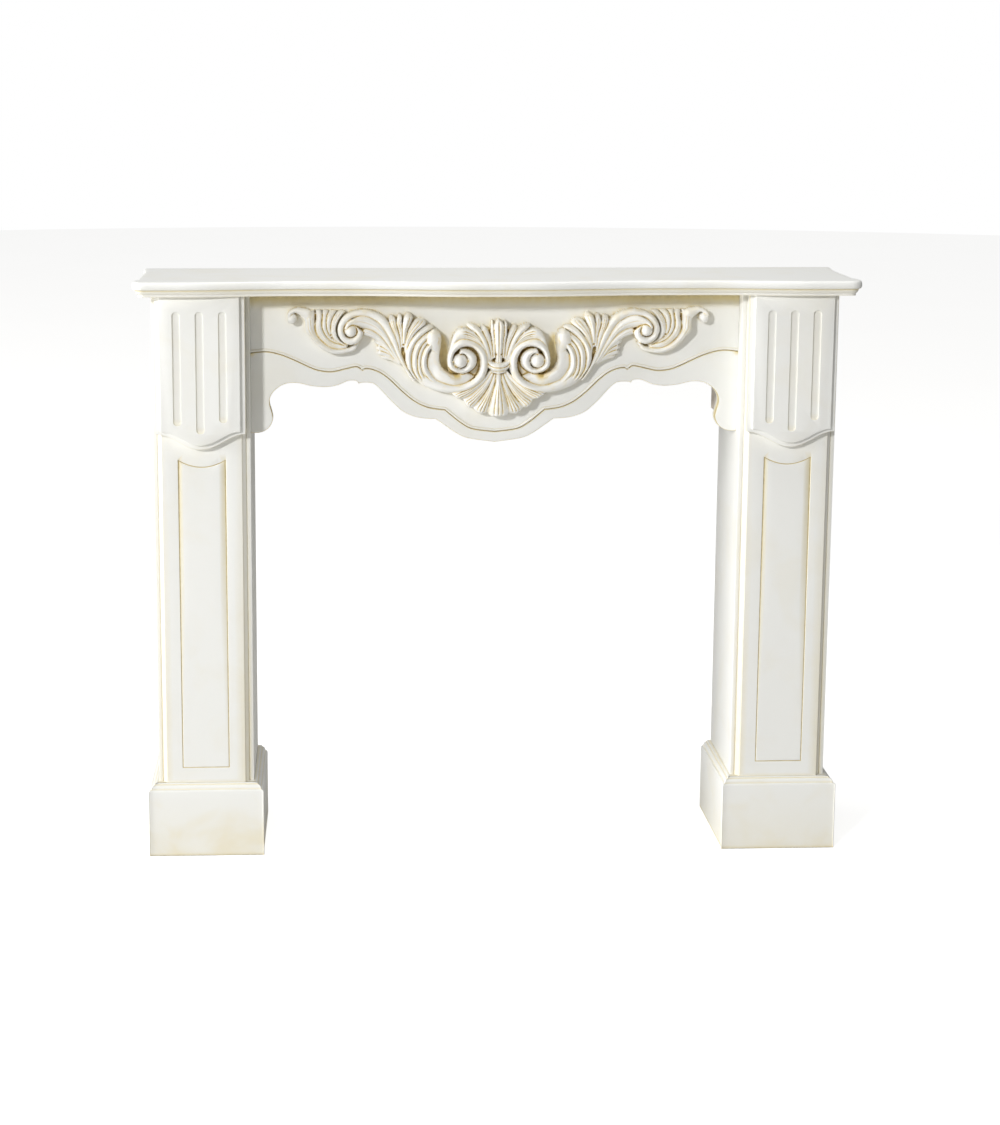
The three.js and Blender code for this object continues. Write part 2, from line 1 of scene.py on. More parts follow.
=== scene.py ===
"""Looks of a carved fireplace mantelpiece: lacquered boards and a cast ornament, both with an ochre glaze.

Each piece takes its place from the box of the CAD node that it stands for. Shapes are worked out in
millimetres and made into meshes in metres. The front faces -Y and +Z is up.
"""

import logging
import math
from dataclasses import dataclass
from enum import Enum
from typing import Callable, Sequence

import bmesh
import bpy
import numpy as np
from mathutils import Matrix, Vector
from mathutils.geometry import delaunay_2d_cdt


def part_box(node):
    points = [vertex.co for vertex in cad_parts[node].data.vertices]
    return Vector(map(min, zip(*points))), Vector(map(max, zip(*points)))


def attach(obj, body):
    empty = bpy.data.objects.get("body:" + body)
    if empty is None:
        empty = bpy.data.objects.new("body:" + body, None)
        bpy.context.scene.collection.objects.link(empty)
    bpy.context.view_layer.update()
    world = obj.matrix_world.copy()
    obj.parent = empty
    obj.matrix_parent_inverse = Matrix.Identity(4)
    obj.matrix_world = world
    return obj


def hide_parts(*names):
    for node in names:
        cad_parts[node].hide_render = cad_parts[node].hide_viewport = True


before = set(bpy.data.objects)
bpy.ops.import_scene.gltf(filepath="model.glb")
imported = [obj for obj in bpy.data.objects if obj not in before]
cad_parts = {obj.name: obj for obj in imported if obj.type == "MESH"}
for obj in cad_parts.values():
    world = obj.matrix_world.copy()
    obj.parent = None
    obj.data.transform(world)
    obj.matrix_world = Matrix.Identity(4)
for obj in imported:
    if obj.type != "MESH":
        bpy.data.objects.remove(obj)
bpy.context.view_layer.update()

logging.basicConfig(level=logging.INFO, format="%(message)s")
log = logging.getLogger("mantelpiece")

MM = 0.001
GAP = 0.3  # between pieces that touch, as in the CAD model
TINY = 1e-9  # keeps what is divided by off zero
NO_EDGES = np.empty((0, 2), int)
BODY = "root"

Field = Callable[[np.ndarray], np.ndarray]  # gives a value for each point (x, z)


class Side(Enum):
    """A side of the mantelpiece, as the sign of x there."""

    LEFT = -1
    RIGHT = 1

    @property
    def word(self) -> str:
        """Returns left or right."""
        return self.name.lower()


def box_mm(node: str) -> tuple[np.ndarray, np.ndarray]:
    """Reads the box of a CAD node.

    Args:
        node: name of the CAD node.

    Returns:
        Its lowest and highest corners, in millimetres.
    """
    low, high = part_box(node)
    return np.array(low) / MM, np.array(high) / MM


def smooth(t: np.ndarray | float) -> np.ndarray:
    """Eases from 0 to 1 as t does, level at both ends."""
    s = np.clip(t, 0, 1)
    return s * s * (3 - 2 * s)


def near(distance: np.ndarray, reach: float) -> np.ndarray:
    """Returns 1 where the distance is 0, falling evenly to 0 at the reach."""
    return np.clip(1 - distance / reach, 0, 1)


def unit(vectors: np.ndarray) -> np.ndarray:
    """Returns the vectors, one a row, at length 1."""
    return vectors / np.maximum(np.linalg.norm(vectors, axis=1, keepdims=True), TINY)


def in_space(flat: np.ndarray, y: np.ndarray | float) -> np.ndarray:
    """Returns points (x, z), one a row, as points in space at y."""
    return np.column_stack([flat[:, 0], np.broadcast_to(y, len(flat)), flat[:, 1]])


def front_corners(low: np.ndarray, high: np.ndarray) -> np.ndarray:
    """Returns the corners (x, z) of a box seen from the front, anticlockwise."""
    return np.array([[low[0], low[2]], [high[0], low[2]], [high[0], high[2]], [low[0], high[2]]])


def spread(t: np.ndarray, values: Sequence[float]) -> np.ndarray:
    """Runs evenly through a few given values.

    Args:
        t: places from 0 to 1.
        values: the values at even steps of t.

    Returns:
        The value at each place.
    """
    return np.interp(t, np.linspace(0, 1, len(values)), values)


def curve_through(knots: Sequence[Sequence[float]], per_knot: int = 8) -> np.ndarray:
    """Draws a smooth curve through its knots.

    Args:
        knots: points in the plane.
        per_knot: how many points the curve gets from one knot to the next.

    Returns:
        The points of the curve.
    """
    k = np.asarray(knots, float)
    padded = np.vstack([k[0], k, k[-1]])
    share = np.linspace(0, 1, per_knot, endpoint=False)[:, None]
    pieces = []
    for a, b, c, d in zip(padded, padded[1:], padded[2:], padded[3:]):
        run_b, run_c = (c - a) / 2, (d - b) / 2
        pieces.append(
            b + run_b * share
            + (3 * (c - b) - 2 * run_b - run_c) * share**2
            + (2 * (b - c) + run_b + run_c) * share**3
        )
    return np.vstack([*pieces, k[-1:]])


def distance_to(points: np.ndarray, path: np.ndarray) -> np.ndarray:
    """Measures how far points lie from an open path in the same plane.

    Args:
        points: the points, one a row.
        path: corners of the path, one a row.

    Returns:
        The distance of each point.
    """
    start, run = path[:-1], np.diff(path, axis=0)
    square = np.maximum((run**2).sum(1), TINY)
    nearest = np.full(len(points), np.inf)
    for a, r, q in zip(start, run, square):
        offset = points - a
        share = np.clip(offset @ r / q, 0, 1)
        nearest = np.minimum(nearest, ((offset - share[:, None] * r) ** 2).sum(1))
    return np.sqrt(nearest)


def closed(path: np.ndarray) -> np.ndarray:
    """Returns the path with its first point again at its end."""
    return np.vstack([path, path[:1]])


def moved_inward(outline: np.ndarray, distance: float) -> np.ndarray:
    """Moves a closed outline inward.

    Args:
        outline: its corners, anticlockwise.
        distance: how far.

    Returns:
        The moved corners.
    """
    before, after = np.roll(outline, 1, axis=0), np.roll(outline, -1, axis=0)
    run_in, run_out = unit(outline - before), unit(after - outline)
    bisector = unit(run_in + run_out)
    least_cosine = 0.5  # keeps a sharp corner from running far inward
    stretch = 1 / np.maximum((bisector * run_in).sum(1, keepdims=True), least_cosine)
    return outline + np.stack([-bisector[:, 1], bisector[:, 0]], axis=1) * distance * stretch


def moved_aside(path: np.ndarray, distance: float) -> np.ndarray:
    """Moves an open path sideways.

    Args:
        path: its points.
        distance: how far, to the left of its run.

    Returns:
        The moved points.
    """
    run = unit(np.gradient(path, axis=0))
    return path + np.stack([-run[:, 1], run[:, 0]], axis=1) * distance


def triangles_inside(
    corners: np.ndarray, rim: np.ndarray, edges: np.ndarray = NO_EDGES
) -> tuple[np.ndarray, np.ndarray]:
    """Fills the plane inside closed lines with triangles that follow every line given.

    Args:
        corners: points in the plane.
        rim: edges of the closed lines, as pairs of numbers of corners.
        edges: edges of the other lines.

    Returns:
        The points, with those that crossing lines add, and the triangles, anticlockwise.
    """
    lines = np.vstack([rim, edges]).tolist()
    points, _, faces, *_ = delaunay_2d_cdt([Vector(p) for p in corners], lines, [], 0, 1e-4, False)
    points, faces = np.array([p[:] for p in points]), np.array(faces, int)
    x, z = points[faces].mean(axis=1).T
    inside = np.zeros(len(faces), bool)
    for (x0, z0), (x1, z1) in corners[rim]:
        if z0 != z1:
            inside ^= ((z0 > z) != (z1 > z)) & (x < x0 + (z - z0) * (x1 - x0) / (z1 - z0))
    return points, faces[inside]


WELD = 0.005  # points that lie closer than this become one


class Skin:
    """The mesh of one piece, gathered in millimetres."""

    def __init__(self) -> None:
        """Starts with no points."""
        self.points: list[np.ndarray] = []
        self.faces: list[list[int]] = []
        self.patina: list[np.ndarray] = []
        self.count = 0

    def add(
        self, points: np.ndarray, faces: Sequence[Sequence[int]], patina: np.ndarray | float = 0.0
    ) -> None:
        """Adds points and faces.

        Args:
            points: one a row, in millimetres.
            faces: numbers of these points.
            patina: how much glaze each point holds, from 0 to 1; in a few places it is painted shade.
        """
        self.faces += [[int(i) + self.count for i in face] for face in faces]
        self.points.append(np.asarray(points, float))
        self.patina.append(np.broadcast_to(np.asarray(patina, float), len(points)))
        self.count += len(points)

    def loft(self, rings: Sequence[np.ndarray], patina: Sequence[float]) -> None:
        """Adds a closed skin through rings of equally many points.

        Args:
            rings: the rings, from one end to the other.
            patina: glaze on each ring.
        """
        count = len(rings[0])
        index = np.arange(count)
        faces = []
        for r in range(len(rings) - 1):
            a, b = r * count + index, r * count + np.roll(index, -1)
            faces += np.stack([a, b, b + count, a + count], axis=1).tolist()
        faces.append(index[::-1].tolist())
        faces.append((index + count * (len(rings) - 1)).tolist())
        self.add(np.vstack(rings), faces, np.repeat(patina, count))

    def close_behind(
        self, front: np.ndarray, rim: np.ndarray, patina: np.ndarray, back: float, foot_patina: float = 0.0
    ) -> None:
        """Adds the walls round a front that is already there, and the flat back behind it.

        Args:
            front: points of the front.
            rim: its outer edges, as pairs of numbers of its points.
            patina: glaze on the front.
            back: y of the back.
            foot_patina: glaze where the walls meet the back.
        """
        around, numbered = np.unique(rim, return_inverse=True)
        rim, total = numbered.reshape(rim.shape), len(around)
        top, low = front[around], front[around]
        low[:, 1] = back
        walls = np.stack([rim[:, 1], rim[:, 0], rim[:, 0] + total, rim[:, 1] + total], axis=1)
        glaze = np.concatenate([patina[around], np.full(total, foot_patina)])
        self.add(np.vstack([top, low]), walls.tolist(), glaze)
        behind, faces = triangles_inside(low[:, [0, 2]], rim)
        self.add(in_space(behind, back), faces[:, ::-1].tolist())

    def make(self, name: str, material: bpy.types.Material, sharp: float = 32.0) -> bpy.types.Object:
        """Makes the object.

        Args:
            name: name of the object and its mesh.
            material: its finish.
            sharp: edges that turn by more degrees than this stay sharp.

        Returns:
            The object, at the origin.
        """
        mesh = bpy.data.meshes.new(name)
        mesh.from_pydata(np.vstack(self.points) * MM, [], self.faces)
        mesh.attributes.new("patina", "FLOAT", "POINT").data.foreach_set(
            "value", np.clip(np.concatenate(self.patina), 0, 1).astype(np.float32)
        )
        tidy = bmesh.new()
        tidy.from_mesh(mesh)
        bmesh.ops.remove_doubles(tidy, verts=tidy.verts, dist=WELD * MM)
        bmesh.ops.recalc_face_normals(tidy, faces=tidy.faces)
        tidy.to_mesh(mesh)
        tidy.free()
        return show(name, mesh, material, sharp)


def show(name: str, mesh: bpy.types.Mesh, material: bpy.types.Material, sharp: float) -> bpy.types.Object:
    """Puts a mesh into the scene as an object with one finish.

    Args:
        name: name of the object.
        mesh: its mesh, in metres.
        material: its finish.
        sharp: edges that turn by more degrees than this stay sharp.

    Returns:
        The object, at the origin.
    """
    mesh.materials.clear()
    mesh.materials.append(material)
    mesh.shade_smooth()
    mesh.set_sharp_from_angle(angle=math.radians(sharp))
    obj = bpy.data.objects.new(name, mesh)
    bpy.context.scene.collection.objects.link(obj)
    return obj


def stand_for(obj: bpy.types.Object, slot: str, *nodes: str) -> None:
    """Lets a finished piece stand for CAD nodes, and reports it.

    Args:
        obj: the piece.
        slot: the record's material slot of its finish; not used.
        nodes: the CAD nodes.
    """
    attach(obj, BODY)
    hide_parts(*nodes)
    log.info("%s: %d faces", obj.name, len(obj.data.polygons))


@dataclass
class ReliefBoard:
    """A board in the XZ plane whose front is carved to a depth at each place.

    Args:
        outline: its corners (x, z), anticlockwise seen from the front.
        front: y of its front.
        back: y of its back.
        depth: how far behind the front the surface lies at points (x, z).
        patina: how much glaze lies at points (x, z).
        creases: open lines that the mesh follows.
        spacing: distance between the points of the mesh away from lines, or 0 for none.
    """

    outline: np.ndarray
    front: float
    back: float
    depth: Field
    patina: Field
    creases: Sequence[np.ndarray] = ()
    spacing: float = 0.0
    clear: float = 0.35  # of the spacing, kept free beside lines

    def filling(self) -> np.ndarray:
        """Spreads points over the board, clear of its lines.

        Returns:
            The points (x, z).
        """
        if not self.spacing:
            return np.empty((0, 2))
        low, high = self.outline.min(0), self.outline.max(0)
        x = np.arange(low[0] + self.spacing / 2, high[0], self.spacing)
        z = np.arange(low[1] + self.spacing / 2, high[1], self.spacing)
        grid = np.stack(np.meshgrid(x, z), axis=-1).reshape(-1, 2)
        for line in [closed(self.outline), *self.creases]:
            grid = grid[distance_to(grid, line) > self.clear * self.spacing]
        return grid

    def add_to(self, skin: Skin) -> None:
        """Adds the front, the walls and the back to a skin.

        Args:
            skin: the skin of the piece.
        """
        around = np.arange(len(self.outline))
        edges, count = [NO_EDGES], len(self.outline)
        for line in self.creases:
            edges.append(count + np.column_stack([np.arange(len(line) - 1), np.arange(1, len(line))]))
            count += len(line)
        corners = np.vstack([self.outline, *self.creases, self.filling()])
        rim = np.column_stack([around, np.roll(around, -1)])
        flat, faces = triangles_inside(corners, rim, np.vstack(edges))
        used, renumbered = np.unique(faces, return_inverse=True)
        flat, faces = flat[used], renumbered.reshape(faces.shape)
        front, patina = in_space(flat, self.front + self.depth(flat)), self.patina(flat)
        skin.add(front, faces.tolist(), patina)

        edges = np.vstack([faces[:, [0, 1]], faces[:, [1, 2]], faces[:, [2, 0]]])
        sides = {tuple(edge) for edge in edges.tolist()}
        rim = np.array([edge for edge in sides if edge[::-1] not in sides])
        skin.close_behind(front, rim, patina, self.back)


def nothing(points: np.ndarray) -> np.ndarray:
    """Returns 0 for each point: the depth and the glaze of a plain board."""
    return np.zeros(len(points))


def eased(distance: np.ndarray, radius: float) -> np.ndarray:
    """Rounds an edge over.

    Args:
        distance: distance from the edge.
        radius: radius of the rounding.

    Returns:
        How far the rounded surface lies below the flat one.
    """
    inward = np.clip(radius - distance, 0, radius)
    return radius - np.sqrt(np.maximum(radius**2 - inward**2, 0))


def eased_rings(outline: np.ndarray, radius: float) -> list[np.ndarray]:
    """Returns the lines that a board's mesh follows where its outer edge is eased."""
    return [closed(moved_inward(outline, inset)) for inset in (0.3, radius)]


def eased_box(skin: Skin, low: np.ndarray, high: np.ndarray, radius: float) -> None:
    """Adds a box with rounded edges.

    Args:
        skin: the skin of the piece.
        low: its lowest corner.
        high: its highest corner.
        radius: radius of the edges.
    """
    block = bmesh.new()
    stretched = Matrix.Translation((low + high) / 2) @ Matrix.Diagonal([*(high - low), 1.0])
    bmesh.ops.create_cube(block, size=1.0, matrix=stretched)
    bmesh.ops.bevel(block, geom=block.edges[:], offset=radius, segments=3, profile=0.5, affect="EDGES")
    block.verts.index_update()
    points = np.array([v.co[:] for v in block.verts])
    skin.add(points, [[v.index for v in face.verts] for face in block.faces])
    block.free()


# Finishes


COLOUR_A, COLOUR_B, COLOUR_OUT = 6, 7, 2  # a Mix node's colour sockets, among those of every data type
LACQUER_IOR = 1.5
WAVE_PHASE = 20  # radians by which the bands of a Wave texture move on in a metre, at scale 1


def linear(colour: str) -> tuple[float, float, float, float]:
    """Turns an sRGB hex colour into a linear one, opaque."""
    channels = [int(colour[i:i + 2], 16) / 255 for i in (1, 3, 5)]
    return (*[c / 12.92 if c <= 0.04045 else ((c + 0.055) / 1.055) ** 2.4 for c in channels], 1.0)


def set_inputs(tree: bpy.types.NodeTree, node: bpy.types.Node, inputs: dict) -> None:
    """Gives a node its input values and links.

    Args:
        tree: the tree that it is in.
        node: the node.
        inputs: for each input, by name or number, a value, the socket that feeds it, or a node, whose first
            output feeds it.
    """
    for key, value in inputs.items():
        if isinstance(value, bpy.types.Node):
            value = value.outputs[0]
        if isinstance(value, bpy.types.NodeSocket):
            tree.links.new(value, node.inputs[key])
        else:
            node.inputs[key].default_value = value


def add_node(
    tree: bpy.types.NodeTree, kind: str, inputs: dict | None = None, **settings: object
) -> bpy.types.Node:
    """Adds a node with its settings and links.

    Args:
        tree: the tree that it goes into.
        kind: its type.
        inputs: what set_inputs takes.
        settings: its other properties.

    Returns:
        The node.
    """
    node = tree.nodes.new(kind)
    for name, value in settings.items():
        setattr(node, name, value)
    set_inputs(tree, node, inputs or {})
    return node


def new_material(name: str) -> tuple[bpy.types.Material, bpy.types.NodeTree, bpy.types.NodeSocket]:
    """Starts a material.

    Args:
        name: its name.

    Returns:
        The material, its tree, and the socket that gives places on the object.
    """
    material = bpy.data.materials.new(name)
    material.use_nodes = True
    tree = material.node_tree
    return material, tree, add_node(tree, "ShaderNodeTexCoord").outputs["Object"]


@dataclass(frozen=True)
class GlazedLacquer:
    """Ivory lacquer, sprayed and then wiped with a thin ochre glaze that stays in hollows.

    On fibreboard it lies dead flat and satin, with a faint cloudiness left by the wiping cloth. On the cast
    resin ornament the glaze is stronger, and lines every groove in gold. On the boards the same tint also
    carries some painted shade: under the shelf, along the frieze's lower edge, in the step under the shelf's
    nose and on the left walls of the flutes.

    Args:
        name: name of the material.
        ivory: colour of the clean lacquer.
        wiped: colour where the cloth left a haze of glaze.
        film: colour of a full thin film of glaze.
        ochre: colour of the glaze where it lies thick.
        uneven: by how much the glaze in a hollow varies along it.
        cloud: strength of the film left on flat faces.
        low_cloud: strength of the film at the floor.
        cloud_size: size of a cloud, in millimetres.
        roughness: of the satin surface.
        peel: size of the ripples of the sprayed surface, in millimetres.
        peel_height: their height, in millimetres.
        cloud_span: values of the noise at which a cloud starts and is full.
        low_run: height at which the film is as weak as on the rest, in millimetres.
        streak: length over which the glaze in a hollow varies, in millimetres.
        streak_span: values of the noise at which the glaze is weakest and strongest.
        full_film: glaze at which the film is full, and starts to thicken to ochre.
    """

    name: str
    ivory: str
    wiped: str
    film: str
    ochre: str
    uneven: float
    cloud: float
    low_cloud: float
    cloud_size: float
    roughness: float
    peel: float
    peel_height: float
    cloud_span: tuple[float, float] = (0.46, 0.72)
    low_run: float = 160.0
    streak: float = 9.0
    streak_span: tuple[float, float] = (0.3, 0.7)
    full_film: float = 0.5

    def build(self) -> bpy.types.Material:
        """Makes the material.

        Returns:
            The material.
        """
        material, tree, place = new_material(self.name)
        clouds = add_node(tree, "ShaderNodeTexNoise", {
            "Vector": place, "Scale": 1 / (self.cloud_size * MM), "Detail": 3.0, "Roughness": 0.55,
            "Distortion": 0.4,
        })
        film = add_node(tree, "ShaderNodeMapRange", {
            "Value": clouds, "From Min": self.cloud_span[0], "From Max": self.cloud_span[1],
        }, interpolation_type="SMOOTHSTEP")
        height = add_node(tree, "ShaderNodeSeparateXYZ", {"Vector": place}).outputs["Z"]
        strength = add_node(tree, "ShaderNodeMapRange", {
            "Value": height, "From Min": 0.0, "From Max": self.low_run * MM,
            "To Min": self.low_cloud, "To Max": self.cloud,
        }, interpolation_type="SMOOTHSTEP")
        share = add_node(tree, "ShaderNodeMath", {0: film, 1: strength}, operation="MULTIPLY")
        ground = add_node(tree, "ShaderNodeMix", {
            0: share, COLOUR_A: linear(self.ivory), COLOUR_B: linear(self.wiped),
        }, data_type="RGBA")
        # the patina attribute gives the glaze, and in a few places painted shade
        patina = add_node(tree, "ShaderNodeAttribute", attribute_name="patina").outputs["Fac"]
        streaks = add_node(tree, "ShaderNodeTexNoise", {
            "Vector": place, "Scale": 1 / (self.streak * MM), "Detail": 2.0,
        })
        uneven = add_node(tree, "ShaderNodeMapRange", {
            "Value": streaks, "From Min": self.streak_span[0], "From Max": self.streak_span[1],
            "To Min": 1 - self.uneven, "To Max": 1 + self.uneven / 3,
        })
        glaze = add_node(tree, "ShaderNodeMath", {
            0: patina, 1: uneven,
        }, operation="MULTIPLY", use_clamp=True)
        thin = add_node(tree, "ShaderNodeMapRange", {"Value": glaze, "From Max": self.full_film})
        filmed = add_node(tree, "ShaderNodeMix", {
            0: thin, COLOUR_A: ground.outputs[COLOUR_OUT], COLOUR_B: linear(self.film),
        }, data_type="RGBA")
        thick = add_node(tree, "ShaderNodeMapRange", {"Value": glaze, "From Min": self.full_film})
        colour = add_node(tree, "ShaderNodeMix", {
            0: thick, COLOUR_A: filmed.outputs[COLOUR_OUT], COLOUR_B: linear(self.ochre),
        }, data_type="RGBA")
        ripples = add_node(tree, "ShaderNodeTexNoise", {
            "Vector": place, "Scale": 1 / (self.peel * MM), "Detail": 1.0,
        })
        bump = add_node(tree, "ShaderNodeBump", {
            "Height": ripples, "Strength": 1.0, "Distance": self.peel_height * MM,
        })
        set_inputs(tree, tree.nodes["Principled BSDF"], {
            "Base Color": colour.outputs[COLOUR_OUT], "Normal": bump, "Roughness": self.roughness,
            "IOR": LACQUER_IOR,
        })
        return material


LACQUER = GlazedLacquer(
    "satin_lacquer_on_fibreboard", ivory="#F5F5F1", wiped="#EFE8D2", film="#E9DAA9", ochre="#87714A",
    uneven=0.15, cloud=0.2, low_cloud=0.75, cloud_size=95, roughness=0.42, peel=7, peel_height=0.05,
)
ORNAMENT = GlazedLacquer(
    "glazed_lacquer_on_cast_resin", ivory="#F6F5F0", wiped="#F1E7CC", film="#DEC682", ochre="#745B30",
    uneven=0.4, cloud=0.55, low_cloud=0.55, cloud_size=22, roughness=0.45, peel=4, peel_height=0.1,
)


@dataclass(frozen=True)
class SawnPine:
    """Unpainted softwood, sawn and left bare: matt, pale grey brown, with soft growth lines along it.

    Args:
        early: colour of the pale wood.
        late: colour of the growth lines.
        ring: spacing of the growth lines over 2 pi, in millimetres.
        along: how much of its height the pattern follows, so that it is drawn out along the grain.
        tooth: height of the sawn surface, in millimetres.
        roughness: of the bare wood.
    """

    early: str = "#EFE8DF"
    late: str = "#DCCFC0"
    ring: float = 3.5
    along: float = 0.08
    tooth: float = 0.2
    roughness: float = 0.8

    def build(self) -> bpy.types.Material:
        """Makes the material.

        Returns:
            The material.
        """
        material, tree, place = new_material("sawn_pine")
        drawn = add_node(tree, "ShaderNodeMapping", {"Vector": place, "Scale": (1.0, 1.0, self.along)})
        rings = add_node(tree, "ShaderNodeTexWave", {
            "Vector": drawn, "Scale": 1 / (self.ring * MM) / WAVE_PHASE, "Distortion": 4.0, "Detail": 3.0,
            "Detail Scale": 1.5,
        }, bands_direction="X").outputs["Fac"]
        colour = add_node(tree, "ShaderNodeMix", {
            0: rings, COLOUR_A: linear(self.late), COLOUR_B: linear(self.early),
        }, data_type="RGBA")
        bump = add_node(tree, "ShaderNodeBump", {"Height": rings, "Distance": self.tooth * MM})
        set_inputs(tree, tree.nodes["Principled BSDF"], {
            "Base Color": colour.outputs[COLOUR_OUT], "Normal": bump, "Roughness": self.roughness,
        })
        return material


# Shelf


@dataclass
class Shelf:
    """The shelf board: serpentine front, hollowed sides, ears at the front corners, and a routed edge."""

    recess: float = 19.5  # how far the front edge swings back between leg and centre
    centre_flat: float = 40.0
    swing: float = 215.0
    leg_swing: float = 180.0
    leg_blend: float = 86.0
    setback_at_leg: float = 4.5
    waist: float = 6.5
    waist_run: float = 70.0
    ear: float = 42.0
    corner: float = 20.0
    profile: tuple[tuple[float, float, float], ...] = (
        (10.0, 25.5, 0.25), (10.0, 25.0, 0.1), (9.9, 21.9, 0.05), (9.3, 21.5, 0.1), (7.9, 20.2, 0.1),
        (6.6, 18.6, 0.1), (5.7, 16.7, 0.15), (5.2, 14.9, 0.35), (5.0, 14.3, 0.6), (4.6, 14.1, 0.5),
        (2.4, 13.5, 0.2), (1.3, 12.5, 0.05), (0.5, 11.0, 0.0), (0.1, 9.3, 0.0), (0.0, 7.6, 0.0),
        (0.1, 5.7, 0.0), (0.45, 3.8, 0.0), (1.1, 2.1, 0.0), (2.0, 0.8, 0.0), (3.0, 0.15, 0.0),
        (4.0, 0.0, 0.0), (10.0, 0.0, 0.0),
    )  # inset, depth below the top and glaze, from the underside up: fillet, cove, step and round nose; the glaze in the step under the nose is partly painted shade

    def __post_init__(self) -> None:
        """Takes the shelf's place from the frame."""
        low, high = box_mm("mantel_shelf")
        self.half, self.front, self.back, self.top = high[0], low[1], high[1], high[2]

    def front_at(self, x: np.ndarray) -> np.ndarray:
        """Works out the front edge.

        Args:
            x: places along the shelf.

        Returns:
            Its y there.
        """
        away = smooth((np.abs(x) - self.centre_flat) / self.swing)
        start = self.half - self.leg_blend - self.leg_swing
        back = smooth((np.abs(x) - start) / self.leg_swing)
        return self.front + self.recess * away - (self.recess - self.setback_at_leg) * back

    def side_at(self, y: np.ndarray | float) -> np.ndarray:
        """Works out the right side edge.

        Args:
            y: places from front to back.

        Returns:
            Its x there.
        """
        hollow = smooth((self.back - y) / self.waist_run)
        ear = smooth((self.front + self.corner + self.ear - y) / (self.ear - self.corner / 2))
        return self.half - self.waist * (hollow - ear)

    def plan(self) -> np.ndarray:
        """Draws the edge in plan.

        Returns:
            Its points, from the right back corner round the front to the left one.
        """
        side_end = self.front + self.setback_at_leg + self.corner
        y = np.linspace(self.back, side_end, 40)
        side = np.stack([self.side_at(y), y], axis=1)
        middle = np.array([self.side_at(side_end) - self.corner, side_end])
        turn = np.linspace(0, -math.pi / 2, 13)[1:]
        round_corner = middle + self.corner * np.stack([np.cos(turn), np.sin(turn)], axis=1)
        x = middle[0] * (1 - np.linspace(0, 1, 101)[1:])
        front = np.stack([x, self.front_at(x)], axis=1)
        half = np.vstack([side, round_corner, front])
        return np.vstack([half, half[-2::-1] * [-1, 1]])

    def inset(self, plan: np.ndarray, distance: float) -> np.ndarray:
        """Moves the plan inward, with its back edge left where it is.

        Args:
            plan: the edge in plan.
            distance: how far.

        Returns:
            The moved edge.
        """
        moved = moved_aside(plan, -distance)
        moved[[0, -1], 0] = plan[[0, -1], 0] - np.sign(plan[[0, -1], 0]) * distance
        moved[[0, -1], 1] = self.back
        return moved

    def build(self, material: bpy.types.Material) -> None:
        """Makes the shelf.

        Args:
            material: its finish.
        """
        plan = self.plan()
        rings = []
        for distance, below, _ in self.profile:
            edge = self.inset(plan, distance)
            rings.append(np.column_stack([edge, np.full(len(edge), self.top - below)]))
        skin = Skin()
        # glaze of each ring; in the step under the nose it is partly painted shade
        skin.loft(rings, [glaze for *_, glaze in self.profile])
        stand_for(skin.make("shelf", material), "antique_lacquer", "mantel_shelf")


# Carving


FINE = 0.42  # spacing of a blade's points, in cells of the height field
MARGIN = 2.4  # how far they run past its edges, in cells
BEND = 1.3  # allowance for a curved edge that is longer than its knots are apart
BLUNT = 0.5  # a blade's end that is narrower than this is square to the blade
THIN_COVER = 0.3  # share of a cell that points have to cover
SKIRT = 0.9  # how far the surface is carried past an outline, in cells
OUTSIDE = -50.0  # for a place that nothing reaches


@dataclass(frozen=True)
class Relief:
    """How a blade of the ornament is modelled across.

    Args:
        fall: how far its edges lie below its crown, in millimetres.
        power: how flat its crown is before the edges fall away.
        tilt: how far it leans, up on its first edge and down on its second, in millimetres.
        ribs: places of the grooves along it, from -1 at the first edge to 1 at the second.
        rib_depth: depth of the grooves, in millimetres.
        rib_width: half width of a groove, in millimetres.
        rib_run: where the grooves start and end, as shares of its length.
        rib_fade: share of its length over which they start and end.
        full: half width at which it has its full relief, in millimetres.
        least: share of its relief where it is narrow.
    """

    fall: float = 5.0
    power: float = 2.4
    tilt: float = 0.0
    ribs: tuple[float, ...] = ()
    rib_depth: float = 1.8
    rib_width: float = 0.9
    rib_run: tuple[float, float] = (0.05, 0.95)
    rib_fade: float = 0.1
    full: float = 5.0
    least: float = 0.25

    def height(self, crown: np.ndarray, t: np.ndarray, q: np.ndarray, half: np.ndarray) -> np.ndarray:
        """Works out the height above the board.

        Args:
            crown: height of the crown.
            t: share of the blade's length.
            q: place across, from -1 to 1.
            half: half the blade's width there.

        Returns:
            The height.
        """
        body = np.clip(half / self.full, self.least, 1)
        raised = crown - body * (self.fall * np.abs(q) ** self.power + self.tilt * q)
        start, end = self.rib_run
        fade = smooth((t - start) / self.rib_fade) * smooth((end - t) / self.rib_fade)
        for rib in self.ribs:
            groove = np.exp(-(((q - rib) * half / self.rib_width) ** 2))
            raised = raised - self.rib_depth * fade * body * groove
        return raised


